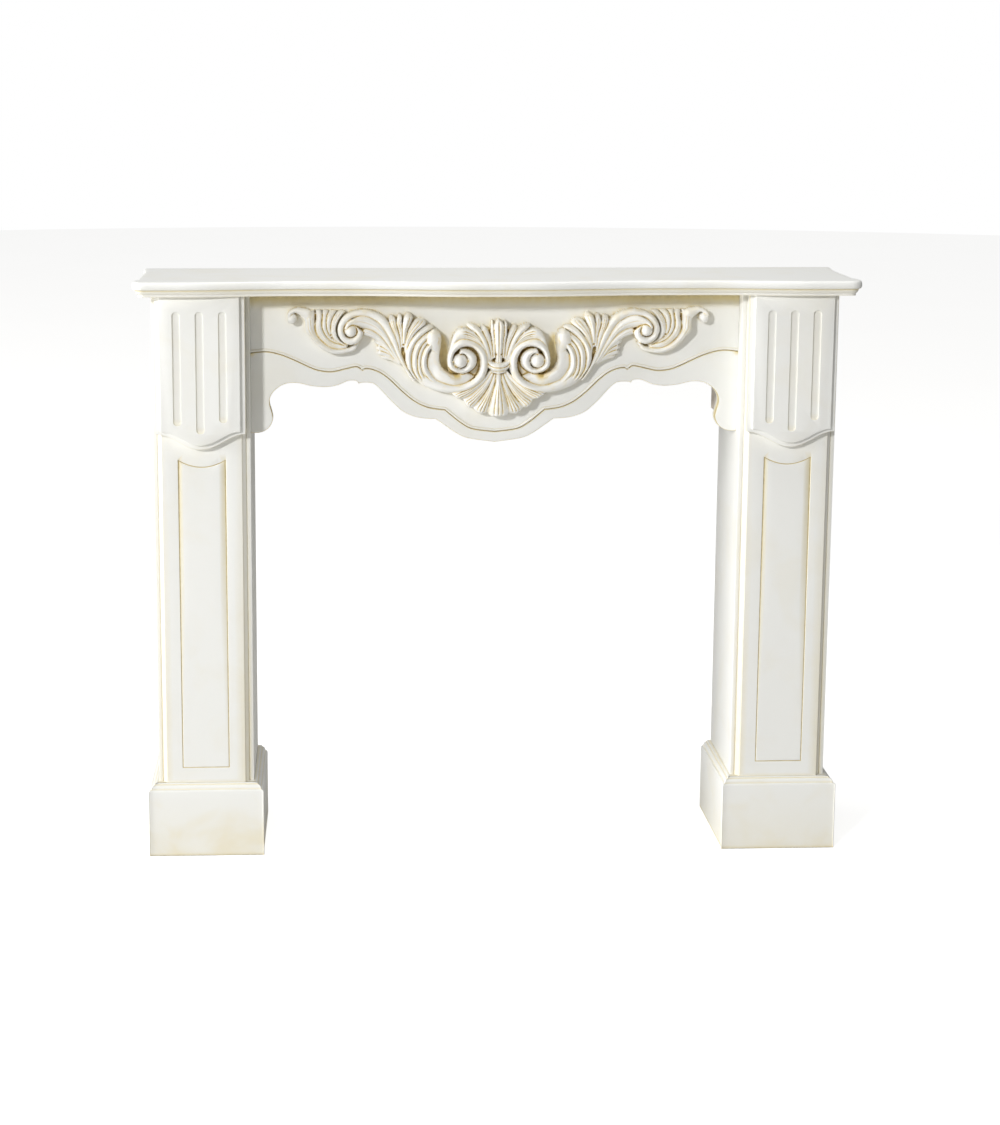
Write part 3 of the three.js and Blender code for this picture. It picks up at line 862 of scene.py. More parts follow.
@dataclass
class Blade:
    """A leaf, lobe or band of the ornament between two edges.

    Args:
        stations: from root to tip, a point of the first edge and the point of the second one across from it.
        crown: heights of the crown above the board, from root to tip.
        relief: its shape across.
    """

    stations: Sequence[Sequence[float]]
    crown: Sequence[float]
    relief: Relief = Relief()

    def on(self, side: Side) -> "Blade":
        """Returns the blade on one side."""
        mirror = [side.value, 1, side.value, 1]
        return Blade(np.asarray(self.stations, float) * mirror, self.crown, self.relief)

    def carve(self, origin: np.ndarray, cell: float, inside: np.ndarray, height: np.ndarray) -> None:
        """Raises the blade in the ornament's height field.

        Args:
            origin: place of the field's first point.
            cell: spacing of the field.
            inside: how far each point lies within the outline, changed here.
            height: height above the board, changed here.
        """
        step, margin = FINE * cell, MARGIN * cell
        knots = np.asarray(self.stations, float)
        longest = np.abs(np.diff(knots, axis=0)).max()
        edges = curve_through(knots, int(math.ceil(longest * BEND / step)))
        first, second = edges[:, :2], edges[:, 2:]
        width = np.linalg.norm(second - first, axis=1)
        middle = (first + second) / 2
        ahead = unit(np.gradient(middle, axis=0))
        across = np.where(width[:, None] > BLUNT, (second - first) / np.maximum(width[:, None], TINY), 0)
        square = np.stack([ahead[:, 1], -ahead[:, 0]], axis=1)
        square *= np.sign((square * (second - first)).sum(1, keepdims=True)) + TINY
        across = np.where(np.linalg.norm(across, axis=1, keepdims=True) > 0, across, square)
        t = np.linspace(0, 1, len(edges))
        beyond = np.arange(step, margin, step)
        start = middle[0] - ahead[0] * beyond[::-1, None]
        finish = middle[-1] + ahead[-1] * beyond[:, None]
        middle = np.vstack([start, middle, finish])
        across = np.pad(across, ((len(beyond), len(beyond)), (0, 0)), mode="edge")
        half = np.pad(width, len(beyond), mode="edge")[:, None] / 2
        t = np.pad(t, len(beyond), mode="edge")[:, None]
        past = np.concatenate([beyond[::-1], np.zeros(len(edges)), beyond])[:, None]
        count = int(math.ceil((width.max() + 2 * margin) / step))
        s = (half + margin) * np.linspace(-1, 1, count)[None, :]
        q = np.clip(s / np.maximum(half, TINY), -1, 1)
        within = np.where(past > 0, np.minimum(half - np.abs(s), -past), half - np.abs(s))
        raised = self.relief.height(spread(t, self.crown), t, q, half)
        places = ((middle[:, None] + across[:, None] * s[..., None] - origin) / cell).reshape(-1, 2)
        self.splat(places, raised.ravel(), within.ravel(), SKIRT * cell, inside, height)

    @staticmethod
    def splat(
        places: np.ndarray, raised: np.ndarray, within: np.ndarray, skirt: float, inside: np.ndarray,
        height: np.ndarray,
    ) -> None:
        """Shares scattered points out over the cells of the height field, where they lie highest.

        Args:
            places: the points, in cells.
            raised: their heights.
            within: how far they lie within the blade's outline.
            skirt: how far the surface is carried past the outline.
            inside: how far each place of the field lies within the outline, changed here.
            height: its height above the board, changed here.
        """
        low = np.maximum(np.floor(places.min(0)).astype(int), 0)
        last = [inside.shape[1] - 1, inside.shape[0] - 1]
        high = np.minimum(np.ceil(places.max(0)).astype(int) + 1, last)
        size = high - low + 1
        corner = np.floor(places).astype(int)
        part = places - corner
        total, level, depth = (np.zeros(size[0] * size[1]) for _ in range(3))
        for right in (0, 1):
            for up in (0, 1):
                spot = corner + [right, up] - low
                kept = ((spot >= 0) & (spot < size)).all(1)
                weight = (np.abs(1 - right - part[:, 0]) * np.abs(1 - up - part[:, 1]))[kept]
                index = spot[kept, 1] * size[0] + spot[kept, 0]
                total += np.bincount(index, weight, len(total))
                level += np.bincount(index, weight * raised[kept], len(total))
                depth += np.bincount(index, weight * within[kept], len(total))
        met = total > THIN_COVER
        level, depth = level / np.maximum(total, TINY), depth / np.maximum(total, TINY)
        window = np.s_[low[1]:high[1] + 1, low[0]:high[0] + 1]
        shape = (size[1], size[0])
        depth = np.where(met, depth, OUTSIDE).reshape(shape)
        level = np.where(met, level, 0.0).reshape(shape)
        inside[window] = np.maximum(inside[window], depth)
        height[window] = np.maximum(height[window], np.where(depth > -skirt, level, 0))


@dataclass
class Boss:
    """A round button, or the ground under a part of the ornament.

    Args:
        centre: its middle.
        radius: its radius.
        top: height of its middle.
        fall: how far its edge lies below that.
    """

    centre: tuple[float, float]
    radius: float
    top: float
    fall: float = 0.0
    power: float = 2.4  # how flat its middle is before the edge falls away

    def on(self, side: Side) -> "Boss":
        """Returns the boss on one side."""
        return Boss((self.centre[0] * side.value, self.centre[1]), self.radius, self.top, self.fall)

    def carve(self, origin: np.ndarray, cell: float, inside: np.ndarray, height: np.ndarray) -> None:
        """Raises the boss in the ornament's height field.

        Args:
            origin: place of the field's first point.
            cell: spacing of the field.
            inside: how far each point lies within the outline, changed here.
            height: height above the board, changed here.
        """
        rows, columns = np.indices(inside.shape)
        x, z = origin[0] + columns * cell - self.centre[0], origin[1] + rows * cell - self.centre[1]
        away = np.hypot(x, z)
        inside[:] = np.maximum(inside, self.radius - away)
        level = self.top - self.fall * np.clip(away / self.radius, 0, 1) ** self.power
        height[:] = np.maximum(height, np.where(away < self.radius + SKIRT * cell, level, 0))


def blurred(values: np.ndarray, radius: float) -> np.ndarray:
    """Blurs a field with a bell curve.

    Args:
        values: the field.
        radius: standard deviation, in cells.

    Returns:
        The blurred field.
    """
    reach = int(3 * radius) + 1
    weights = np.exp(-0.5 * (np.arange(-reach, reach + 1) / radius) ** 2)
    weights /= weights.sum()
    for axis in (0, 1):
        padded = np.pad(values, [(reach, reach) if a == axis else (0, 0) for a in (0, 1)], mode="edge")
        size = values.shape[axis]
        values = sum(w * np.take(padded, np.arange(i, i + size), axis=axis) for i, w in enumerate(weights))
    return values


@dataclass
class Carving:
    """The cast ornament on the frieze: shell, palmette, scrolls, acanthus and end leaves.

    Its blades are drawn on the right half, in millimetres from the middle of the waist band, and mirrored.
    """

    cell: float = 0.95  # spacing of the height field
    below_shelf: float = 123.5  # from the shelf to the middle of the waist band
    shift: float = 4.0  # the ornament sits a little right of centre
    eyes: tuple[tuple[float, float], ...] = ((4.5, 19), (162, 36), (285, 52))  # drilled where leaves part
    eye_depth: float = 6.0
    eye_radius: float = 1.6
    eye_clear: float = 2.0  # kept free along the outline
    floor: float = 4.0  # least height above the board
    margin: float = 12.0  # how far the height field runs past the ornament
    lip: float = 0.8  # how far past the outline the height is kept before blurring
    softness: float = 0.5  # radius that rounds off what the field's cells leave sharp
    groove_glaze: float = 0.95  # in fine grooves
    groove_depth: float = 0.7  # of a groove whose glaze is full
    groove_radius: float = 1.2  # of the blur that a groove lies below
    groove_least: float = 0.05  # share of that depth that the cloth wiped clean
    hollow_glaze: float = 0.42  # in broad hollows
    hollow_depth: float = 5.0  # of a hollow whose glaze is full
    hollow_radius: float = 3.5
    rim_glaze: float = 0.4  # share of the glaze that the cloth left at the outline
    rim_width: float = 4.0
    pool: tuple[tuple[float, float], ...] = (
        (97, 44), (93, 30), (95, 14), (93, -2), (84, -12), (72, -17),
    )  # where glaze has pooled, in the hollow beside each big volute
    pool_width: float = 10.0
    pool_glaze: float = 0.62
    pool_level: float = 29.0  # height that the pooled glaze stays below
    pool_core: float = 0.15  # share of its width where it is full
    halo_reach: float = 4.5  # of the glaze that the ornament leaves on the board round it
    halo_glaze: tuple[float, float] = (0.08, 0.42)  # in the open, and more where the ornament is close
    halo_start: tuple[float, float] = (0.0, 0.4)  # share of a place's surroundings that is ornament
    halo_rate: tuple[float, float] = (2.2, 3.0)  # how fast each grows with that share

    def __post_init__(self) -> None:
        """Takes the ornament's place from the frame."""
        self.low, self.high = box_mm("frieze_carving")
        self.origin = np.array([self.shift, box_mm("mantel_shelf")[0][2] - self.below_shelf])

    def shell(self) -> list[Blade]:
        """Returns the lobes below the waist band: the middle one, and three on the right."""
        joints = [
            [(2, -8), (5, -30), (10, -50), (15, -69), (17, -80)],
            [(5.5, -8), (12.5, -28), (22, -46), (34, -62), (42, -71.5)],
            [(9, -8), (19, -24), (33, -39), (48, -51), (59.5, -58)],
            [(13, -8), (24, -20), (40, -31), (58, -39), (78, -47)],
        ]
        ends = [
            [(19.5, -82.5, 40.5, -77.5), (25, -84.5, 35.5, -82)],
            [(44.5, -73, 57, -65.5), (48, -73.5, 53.5, -70.5)],
            [(61.5, -58.5, 75.5, -53), (65, -58, 71, -56.5)],
        ]
        crown = [19, 24, 27, 29, 29, 27, 22]
        ribbed = Relief(fall=6.5, power=2.0, ribs=(-0.42, 0.02, 0.44), rib_depth=2.1, rib_run=(0.02, 0.86))
        lobes = [
            Blade([(*a, *b) for a, b in zip(inner, outer)] + end, crown, ribbed)
            for inner, outer, end in zip(joints, joints[1:], ends)
        ]
        tip = [(-15.5, -85, 16, -85), (-11, -89, 11.5, -89), (-5, -91.5, 5.5, -91.5)]
        middle = [(-x, z, x, z) for x, z in joints[0]] + tip
        return [Blade(middle, [24, 28, 31, 32, 31, 29, 24], ribbed), *lobes]

    def waist(self) -> list[Blade]:
        """Returns the band at the waist, tied over the shell's root."""
        return [
            Blade([(0, 4.5, 0, -9.5), (7, 4.5, 7, -9), (13, 6.5, 14, -7), (18, 10, 19, -3)],
                  [35, 34, 31, 27],
                  Relief(fall=6, power=3.0, ribs=(0.12,), rib_depth=2.4, rib_width=1.1,
                         rib_run=(-0.2, 1.2))),
            Blade([(0, -9, 0, -14), (6, -9, 6.5, -13), (11, -8, 12, -11.5)], [29, 28, 24], Relief(fall=4)),
        ]

    def palmette(self) -> list[Blade]:
        """Returns the leaves above the waist band, from the middle one outward."""
        return [
            Blade([(0, 3, 5, 3), (0, 20, 4.5, 20), (0, 40, 6, 40), (0, 58, 8, 58), (0, 70, 8.5, 69),
                   (0, 77.5, 4, 76)],
                  [28, 30, 33, 35, 33, 26], Relief(fall=5, tilt=2.0, ribs=(-0.9, 0.3), rib_depth=2.0)),
            Blade([(5, 14, 9, 12), (6.5, 40, 10.5, 38), (9, 60, 13.5, 57), (10, 72, 13, 72),
                   (10, 76, 11.5, 76)],
                  [24, 28, 30, 27, 20], Relief(fall=4)),
            Blade([(9, 12, 13, 10), (12, 38, 17, 33), (17, 55, 24, 50), (23, 66, 30, 62), (27, 69, 30, 67)],
                  [23, 27, 29, 26, 18], Relief(fall=4.5, tilt=-1.0, ribs=(0.2,))),
            Blade([(11, 8, 16, 6), (15, 26, 21, 21), (21, 45, 29, 40), (31, 61, 38, 54), (42, 69.5, 47, 61),
                   (51, 71.5, 54, 67)],
                  [23, 28, 31, 32, 29, 20], Relief(fall=5, power=2.0, tilt=-1.5)),
        ]

    def hood(self) -> list[Blade]:
        """Returns the leaf that folds over the top of the big volute."""
        return [Blade(
            [(15, 6, 19, 3), (19, 22, 23, 17), (26, 38, 30, 30), (35, 50, 39, 40), (47, 59, 49, 45),
             (60, 63.5, 58, 46.5), (71, 59.5, 66, 45), (78, 49, 71, 41), (81.5, 37, 76, 34),
             (84, 27, 80, 26)],
            [25, 28, 30, 32, 33, 34, 33, 31, 29, 27],
            Relief(fall=4.5, power=2.2, tilt=0.5, ribs=(-0.45, 0.1, 0.55), rib_depth=2.6, rib_width=1.0,
                   rib_run=(0.03, 0.62)),
        )]

    def big_scroll(self) -> list[Blade | Boss]:
        """Returns the big volute, its boss, and the broad band inside its bowl."""
        rim = [
            (158, 20, 121, 22), (158, 6, 123, 6), (153, -7, 121.5, -5), (145, -19, 117, -13),
            (131, -33, 108, -22), (112, -42, 97, -28.5), (92, -47, 84, -33.5), (72, -47.5, 70, -35),
            (52, -43.5, 57, -32.5), (36, -34, 44, -25.5), (24, -20, 35, -15), (18.5, -4, 31, -2),
            (19, 12, 31.5, 12), (24, 26, 37, 24), (34, 37, 45, 31), (48, 44, 55, 33), (62, 46, 64, 31.5),
            (75, 40, 71, 27.5), (84, 27, 76.5, 20.5), (87.5, 12, 79.5, 11), (86, -1, 78, 2),
            (77.5, -9.5, 72, -4), (66, -13, 64.5, -6), (53, -11, 56.5, -3.5), (41.5, -3, 53, 4),
            (38, 9, 52.5, 11), (42, 20, 56, 18), (52, 27, 61, 21), (64, 28.5, 67, 21),
        ]
        return [
            Blade(rim,
                  [18, 20, 22, 24, 25, 27, 28, 29, 30, 31, 32, 32, 33, 33, 34, 35, 35, 35, 34, 34, 33, 32,
                   32, 33, 34, 35, 35],
                  Relief(fall=6.5, power=2.3, tilt=-1.0)),
            Boss((66, 8), 11.5, 37, 9),
            Boss((54, 1), 33, 13),
            Blade([(43, -25, 42, -20), (50, -29.5, 52, -15), (62, -34, 62, -14.5), (75, -35, 75, -17),
                   (90, -31, 87, -12), (105, -24, 95.5, -5), (115, -15, 100, 3), (121, -5, 101.5, 12),
                   (123, 6, 101, 22), (121, 17, 100, 32), (114, 28, 99.5, 41), (106, 38, 99, 48)],
                  [17, 23, 26, 28, 29, 29, 28, 27, 26, 25, 24, 23], Relief(fall=4.5, power=2.6, tilt=-2.0)),
        ]

    def bowl_leaf(self) -> list[Blade]:
        """Returns the C-shaped ribs of the acanthus leaf round the bowl, from the inner one outward."""
        plain = Relief(fall=4.5, power=2.0, tilt=1.2)
        return [
            Blade([(102, -29, 112, -34), (114, -17, 124, -23), (121, -6, 131, -12), (123.5, 5, 133.5, 1),
                   (122, 17, 132.5, 15), (117, 28, 128, 29), (109, 38, 119, 40), (102, 47, 108, 50),
                   (99.5, 54, 102, 56)],
                  [24, 26, 29, 31, 32, 31, 28, 23, 16],
                  Relief(fall=5, power=2.0, tilt=1.5, ribs=(0.35,), rib_depth=1.4)),
            Blade([(124, -24, 130, -25), (131, -12, 136.5, -12), (134, 1, 138.5, 4), (133, 15, 137.5, 19),
                   (128, 30, 131, 34), (118, 42, 120, 45.5), (108, 50, 109, 52)],
                  [24, 27, 29, 30, 29, 26, 20], plain),
            Blade([(128, -28, 138, -24), (136, -13, 147, -9), (138.5, 4, 149.5, 7), (137.5, 20, 148.5, 24),
                   (131, 35, 142, 40), (119, 47, 129, 52), (107, 54, 113, 60), (102, 58, 105, 61)],
                  [23, 26, 30, 31, 30, 27, 22, 15],
                  Relief(fall=5, power=2.0, tilt=1.5, ribs=(0.1,), rib_depth=1.2)),
            Blade([(137, -27, 145, -20), (147, -9, 154, -5), (149.5, 7, 158, 9), (148.5, 24, 157.5, 25),
                   (142, 40, 150.5, 41), (129, 53, 139, 57), (114, 62, 124, 67.5), (110, 64.5, 115, 68)],
                  [22, 25, 29, 31, 30, 27, 22, 15], plain),
            Blade([(158, 20, 160, 24), (151, 42, 160, 42), (140, 58, 154, 60), (127, 69, 147, 72),
                   (124, 73, 141, 79), (126, 77, 135, 80)],
                  [24, 28, 29, 27, 22, 15],
                  Relief(fall=4.5, power=2.0, tilt=1.0, ribs=(-0.25, 0.35), rib_depth=1.8)),
            Blade([(103, 6, 105, 6), (101, 20, 109, 17), (99, 34, 116, 29), (98, 45, 122, 40),
                   (100, 54, 120, 54), (106, 60.5, 114, 61)],
                  [18, 24, 28, 31, 31, 25], Relief(fall=5, power=2.2, tilt=-1.0)),
        ]

    def fan(self) -> list[Blade]:
        """Returns the upright leaves between the bowl and the stem."""
        return [
            Blade([(160, 32, 163, 32), (157, 57, 163, 57), (150, 73, 163, 73), (146.5, 82, 160.5, 84),
                   (149, 88, 156, 89)],
                  [25, 29, 31, 28, 19], Relief(fall=5, power=2.0, tilt=-1.0, ribs=(-0.3,))),
            Blade([(163, 34, 167, 30), (163.5, 57, 169, 52), (165, 74, 174, 70), (165, 83, 172.5, 82),
                   (167, 87, 170, 87)],
                  [24, 27, 28, 25, 18], Relief(fall=4.5, ribs=(0.0,))),
            Blade([(166, 24, 169, 20), (169, 47, 175, 44), (174, 68, 184, 66), (176, 79, 187, 78),
                   (180, 85, 185, 85)],
                  [24, 27, 29, 26, 17], Relief(fall=5, tilt=1.0, ribs=(-0.3, 0.3), rib_depth=2.4)),
        ]

    def small_scroll(self) -> list[Blade | Boss]:
        """Returns the three bands of the stem, which rise into the small volute, and its boss."""
        upper = [
            (141, -27, 147, -27), (151, -13, 157, -12), (160, 4, 165, 2), (166, 20, 172, 14),
            (171, 38, 181, 33), (177, 56, 191, 53), (186, 72, 201, 68), (196, 84, 210, 76.5),
            (209, 91.5, 223, 82.5), (225, 95.5, 237, 84), (242, 94.5, 249, 81), (256, 89.5, 256.5, 74),
            (267, 80, 262, 66), (273, 67, 263, 58), (273, 55, 259.5, 50.5), (267, 44, 252, 47.5),
            (256, 37, 245.5, 50), (243, 38, 242, 55), (233.5, 47, 241.5, 61), (231, 58, 244, 68),
        ]
        return [
            Blade(upper,
                  [18, 20, 22, 24, 26, 27, 27, 27, 27, 28, 28, 29, 30, 31, 31, 31, 31, 31, 31, 32],
                  Relief(fall=5.5, power=2.4, tilt=1.0)),
            Blade([(165, 3, 166.5, 2), (172, 14, 174.5, 12.5), (181, 33, 187, 32), (191, 53, 201, 49.5),
                   (201, 68, 215, 60), (211, 76.5, 226, 63.5), (225, 83, 234, 64.5), (238, 83.5, 242, 67),
                   (249, 79.5, 249, 69), (257, 73, 254, 67), (261.5, 65, 257, 62)],
                  [20, 22, 25, 26, 27, 27, 28, 30, 32, 33, 33],
                  Relief(fall=5, power=2.2, tilt=1.5, ribs=(-0.1,), rib_depth=1.0)),
            Blade([(168, 4, 169.5, 3), (175, 13, 178, 13), (187, 32, 192, 30), (201, 49.5, 206, 41.5),
                   (215, 59.5, 219, 49), (226, 63, 229, 52), (232, 60, 233, 53)],
                  [19, 21, 24, 25, 25, 24, 20],
                  Relief(fall=5, power=2.0, tilt=1.0, ribs=(0.0,), rib_depth=1.2)),
            Boss((251.5, 60), 10, 36, 8),
            Boss((250, 60), 19, 13),
        ]

    def lower_fan(self) -> list[Blade]:
        """Returns the small leaves under the stem."""
        leaf = Relief(fall=4, power=2.0, tilt=1.2, ribs=(0.1,), rib_depth=1.0)
        return [
            Blade([(172, 10, 173, 8), (190, 33, 192, 27), (204, 43, 206, 35.5), (211, 44, 211.5, 40)],
                  [19, 22, 21, 14], leaf),
            Blade([(171, 7, 172, 5), (188, 26, 190, 20), (202, 32.5, 204, 26), (207.5, 31, 207.5, 28)],
                  [18, 20, 19, 13], leaf),
            Blade([(169, 4, 170, 2), (186, 19, 188, 14), (201, 24, 202, 17.5), (206.5, 22, 206, 19)],
                  [17, 19, 18, 12], leaf),
            Blade([(166, 1, 167, -1), (182, 13, 184, 8), (194, 16, 195, 10), (199, 14, 198, 11)],
                  [16, 17, 15, 11], leaf),
        ]

    def end_leaf(self) -> list[Blade | Boss]:
        """Returns the leaf that wraps under the small volute, its blades outward, and the curled tip."""
        return [
            Blade([(258, 33, 262, 34), (272, 44, 277, 43), (277, 58, 285.5, 55), (275.5, 71, 286, 70),
                   (269, 83, 281.5, 83), (260, 92.5, 272, 93)],
                  [17, 20, 23, 24, 22, 14],
                  Relief(fall=4.5, tilt=1.0, ribs=(-0.2, 0.35), rib_depth=1.8, rib_run=(0.4, 0.98))),
            Blade([(284, 50, 286, 50), (286, 63, 292, 61), (286, 74, 293, 75), (282, 84, 291, 86),
                   (275, 92.5, 287, 93.5)],
                  [20, 23, 25, 23, 15], Relief(fall=4.5, tilt=0.5)),
            Blade([(268, 37, 272, 35), (284, 46, 287, 43), (290, 56, 296.5, 54), (293, 69, 300.5, 66),
                   (293, 82, 299, 82), (289, 93, 299, 94)],
                  [16, 20, 23, 25, 23, 14], Relief(fall=4.5, tilt=0.5)),
            Blade([(258, 33, 262, 29), (268, 35.5, 275, 28), (281, 40, 288, 32), (291, 48, 299, 41),
                   (298, 60, 309, 54), (301, 73, 311.5, 68), (300, 84, 309, 82), (301, 93.5, 311, 94)],
                  [18, 20, 22, 24, 26, 26, 23, 14], Relief(fall=5, tilt=0.5, ribs=(0.1,), rib_depth=1.0)),
            Blade([(240, 41, 238, 36), (250, 31, 246, 25), (266, 28, 262, 20.5), (281, 29, 280, 19.5),
                   (295, 38, 296, 25), (305, 47, 308, 34.5), (311.5, 58, 319, 48), (313, 71, 328, 59),
                   (314, 82, 329, 75), (313, 94, 335, 88)],
                  [15, 18, 20, 21, 22, 24, 26, 27, 25, 18],
                  Relief(fall=5, power=2.2, tilt=-0.5, ribs=(-0.3, 0.3), rib_depth=1.2,
                         rib_run=(0.45, 0.97))),
            Blade([(315, 84, 326, 72), (320, 94, 331, 80), (331, 97.5, 337.5, 86), (344, 98, 345, 90),
                   (355, 93, 351, 87), (359.5, 84, 353, 83)],
                  [22, 23, 22, 22, 23, 23], Relief(fall=4.5, tilt=0.5)),
            Boss((351.5, 80), 8.5, 24, 6),
        ]

    def ground(self) -> list[Blade | Boss]:
        """Returns the low ground that closes the gaps between leaves."""
        flat = Relief(fall=1)
        return [
            Blade([(0, 4, 14, 4), (0, 30, 22, 26), (0, 50, 40, 46), (0, 62, 46, 57)],
                  [14, 13, 12, 11], flat),
            Blade([(0, -8, 12, -8), (0, -40, 30, -34), (0, -78, 55, -54)], [16, 16, 13], flat),
            Blade([(124, -24, 144, -20), (124, 6, 156, 8), (118, 28, 152, 36), (106, 46, 136, 56)],
                  [18, 20, 19, 14], flat),
            Blade([(150, -8, 158, -6), (150, 26, 176, 26), (146, 52, 190, 56), (140, 70, 196, 72)],
                  [16, 16, 15, 13], flat),
            Blade([(168, 6, 170, 4), (186, 28, 188, 11), (204, 40, 200, 13)], [14, 13, 11], flat),
            Blade([(226, 82, 230, 56), (248, 80, 246, 50)], [16, 16], flat),
            Blade([(256, 35, 260, 27), (280, 48, 296, 34), (280, 70, 316, 60), (272, 86, 318, 88)],
                  [14, 14, 13, 12], flat),
            Boss((62, -12), 20, 10),
        ]

    def field(self) -> tuple[np.ndarray, np.ndarray, np.ndarray]:
        """Carves every blade into one height field.

        Returns:
            The places of the field, how far each lies within the outline, and its height above the board.
        """
        x = np.arange(self.low[0] - self.margin, self.high[0] + self.margin, self.cell)
        z = np.arange(self.low[2] - self.margin, self.high[2] + self.margin, self.cell)
        grid = np.stack(np.meshgrid(x, z), axis=-1)
        inside = np.full(grid.shape[:2], OUTSIDE)
        height = np.zeros(grid.shape[:2])
        half = [
            *self.ground(), *self.shell(), *self.palmette(), *self.hood(), *self.big_scroll(),
            *self.bowl_leaf(), *self.fan(), *self.small_scroll(), *self.lower_fan(), *self.end_leaf(),
            *self.waist(),
        ]
        for side in Side:
            for shape in half:
                shape.on(side).carve(grid[0, 0] - self.origin, self.cell, inside, height)
            for u, v in self.eyes:
                away = np.linalg.norm(grid - self.origin - [side.value * u, v], axis=-1)
                pit = self.eye_depth * np.exp(-((away / self.eye_radius) ** 2))
                height -= pit * (inside > self.eye_clear)
        edge = np.minimum.reduce([
            grid[..., 0] - self.low[0], self.high[0] - grid[..., 0],
            grid[..., 1] - self.low[2], self.high[2] - grid[..., 1],
        ])
        return grid, np.minimum(inside, edge), np.clip(height, self.floor, self.high[1] - self.low[1])

    def build(self, material: bpy.types.Material) -> tuple[np.ndarray, np.ndarray]:
        """Makes the ornament.

        Args:
            material: its finish.

        Returns:
            The places of its height field, and the glaze that it leaves on the board there.
        """
        grid, inside, height = self.field()
        level = np.where(inside > -self.lip, height, 0)
        fine = blurred(level, self.groove_radius / self.cell) - level
        wide = blurred(level, self.hollow_radius / self.cell) - level
        in_grooves = self.groove_glaze * np.clip(fine / self.groove_depth - self.groove_least, 0, 1)
        in_hollows = self.hollow_glaze * np.clip(wide / self.hollow_depth, 0, 1)
        stain = self.stained(grid)
        patina = in_grooves + in_hollows + stain * (level < self.pool_level)
        patina = np.where(inside < self.rim_width, patina * self.rim_glaze, patina)
        skin = self.skin(grid, inside, blurred(level, self.softness / self.cell), patina)
        stand_for(skin.make("carving", material, sharp=60), "cast_ornament", "frieze_carving")
        beside = blurred((inside > 0).astype(float), self.halo_reach / self.cell)
        halo = sum(
            most * smooth((beside - start) * rate)
            for most, start, rate in zip(self.halo_glaze, self.halo_start, self.halo_rate)
        )
        return grid, np.maximum(halo, stain)

    def stained(self, grid: np.ndarray) -> np.ndarray:
        """Works out where glaze has pooled in the deep hollows beside the big volutes.

        Args:
            grid: places of the height field.

        Returns:
            The glaze there.
        """
        pooled = np.zeros(grid.shape[:2])
        for side in Side:
            path = np.array(self.pool) * [side.value, 1] + self.origin
            away = distance_to(grid.reshape(-1, 2), path).reshape(pooled.shape)
            pooled = np.maximum(pooled, self.pool_glaze * smooth(1 + self.pool_core - away / self.pool_width))
        return pooled

    def skin(self, grid: np.ndarray, inside: np.ndarray, height: np.ndarray, patina: np.ndarray) -> Skin:
        """Makes the ornament's closed skin by walking the cells of the field.

        Args:
            grid: places of the field.
            inside: how far each place lies within the outline.
            height: height above the board.
            patina: glaze at each place.

        Returns:
            The skin.
        """
        nearest_end = 0.02  # least share of a cell's edge on either side of the outline
        rim_height = 0.97  # share of the height that is left at the outline
        base_glaze = 0.5  # where the ornament meets the board
        rows, columns = inside.shape
        number = np.full(inside.shape, -1)
        kept = inside > 0
        number[kept] = np.arange(kept.sum())
        points = [np.array([x, z]) for x, z in grid[kept]]
        rise, glaze = height[kept].tolist(), patina[kept].tolist()
        crossing: dict[tuple, int] = {}

        def on_edge(a: tuple[int, int], b: tuple[int, int]) -> int:
            """Finds the point where the outline crosses the edge of a cell.

            Args:
                a: the end that lies inside.
                b: the end that lies outside.

            Returns:
                The point's number.
            """
            key = (a, b)
            if key not in crossing:
                share = inside[a] / (inside[a] - inside[b])
                share = min(max(share, nearest_end), 1 - nearest_end)
                crossing[key] = len(points)
                points.append(grid[a] + (grid[b] - grid[a]) * share)
                rise.append(height[a] * rim_height)
                glaze.append(patina[a])
            return crossing[key]

        faces, rim = [], []
        touched = np.zeros((rows - 1, columns - 1), int)
        for dr, dc in ((0, 0), (0, 1), (1, 0), (1, 1)):
            touched += kept[dr:rows - 1 + dr, dc:columns - 1 + dc]
        for r, c in zip(*np.nonzero(touched)):
            ring = [(r, c), (r, c + 1), (r + 1, c + 1), (r + 1, c)]
            if touched[r, c] == 4:
                a, b, d, e = (number[p] for p in ring)
                faces += [[a, b, d], [a, d, e]]
                continue
            starts = [i for i in range(4) if kept[ring[i]] and not kept[ring[i - 1]]]
            for i in starts:
                loop = [on_edge(ring[i], ring[i - 1])]
                j = i
                while kept[ring[j % 4]]:
                    loop.append(number[ring[j % 4]])
                    j += 1
                loop.append(on_edge(ring[(j - 1) % 4], ring[j % 4]))
                faces.append(loop)
                rim.append((loop[-1], loop[0]))

        front = in_space(np.array(points), self.high[1] - np.array(rise))
        skin = Skin()
        skin.add(front, faces, np.array(glaze))
        skin.close_behind(front, np.array(rim), np.array(glaze), self.high[1], base_glaze)
        return skin


# Frieze


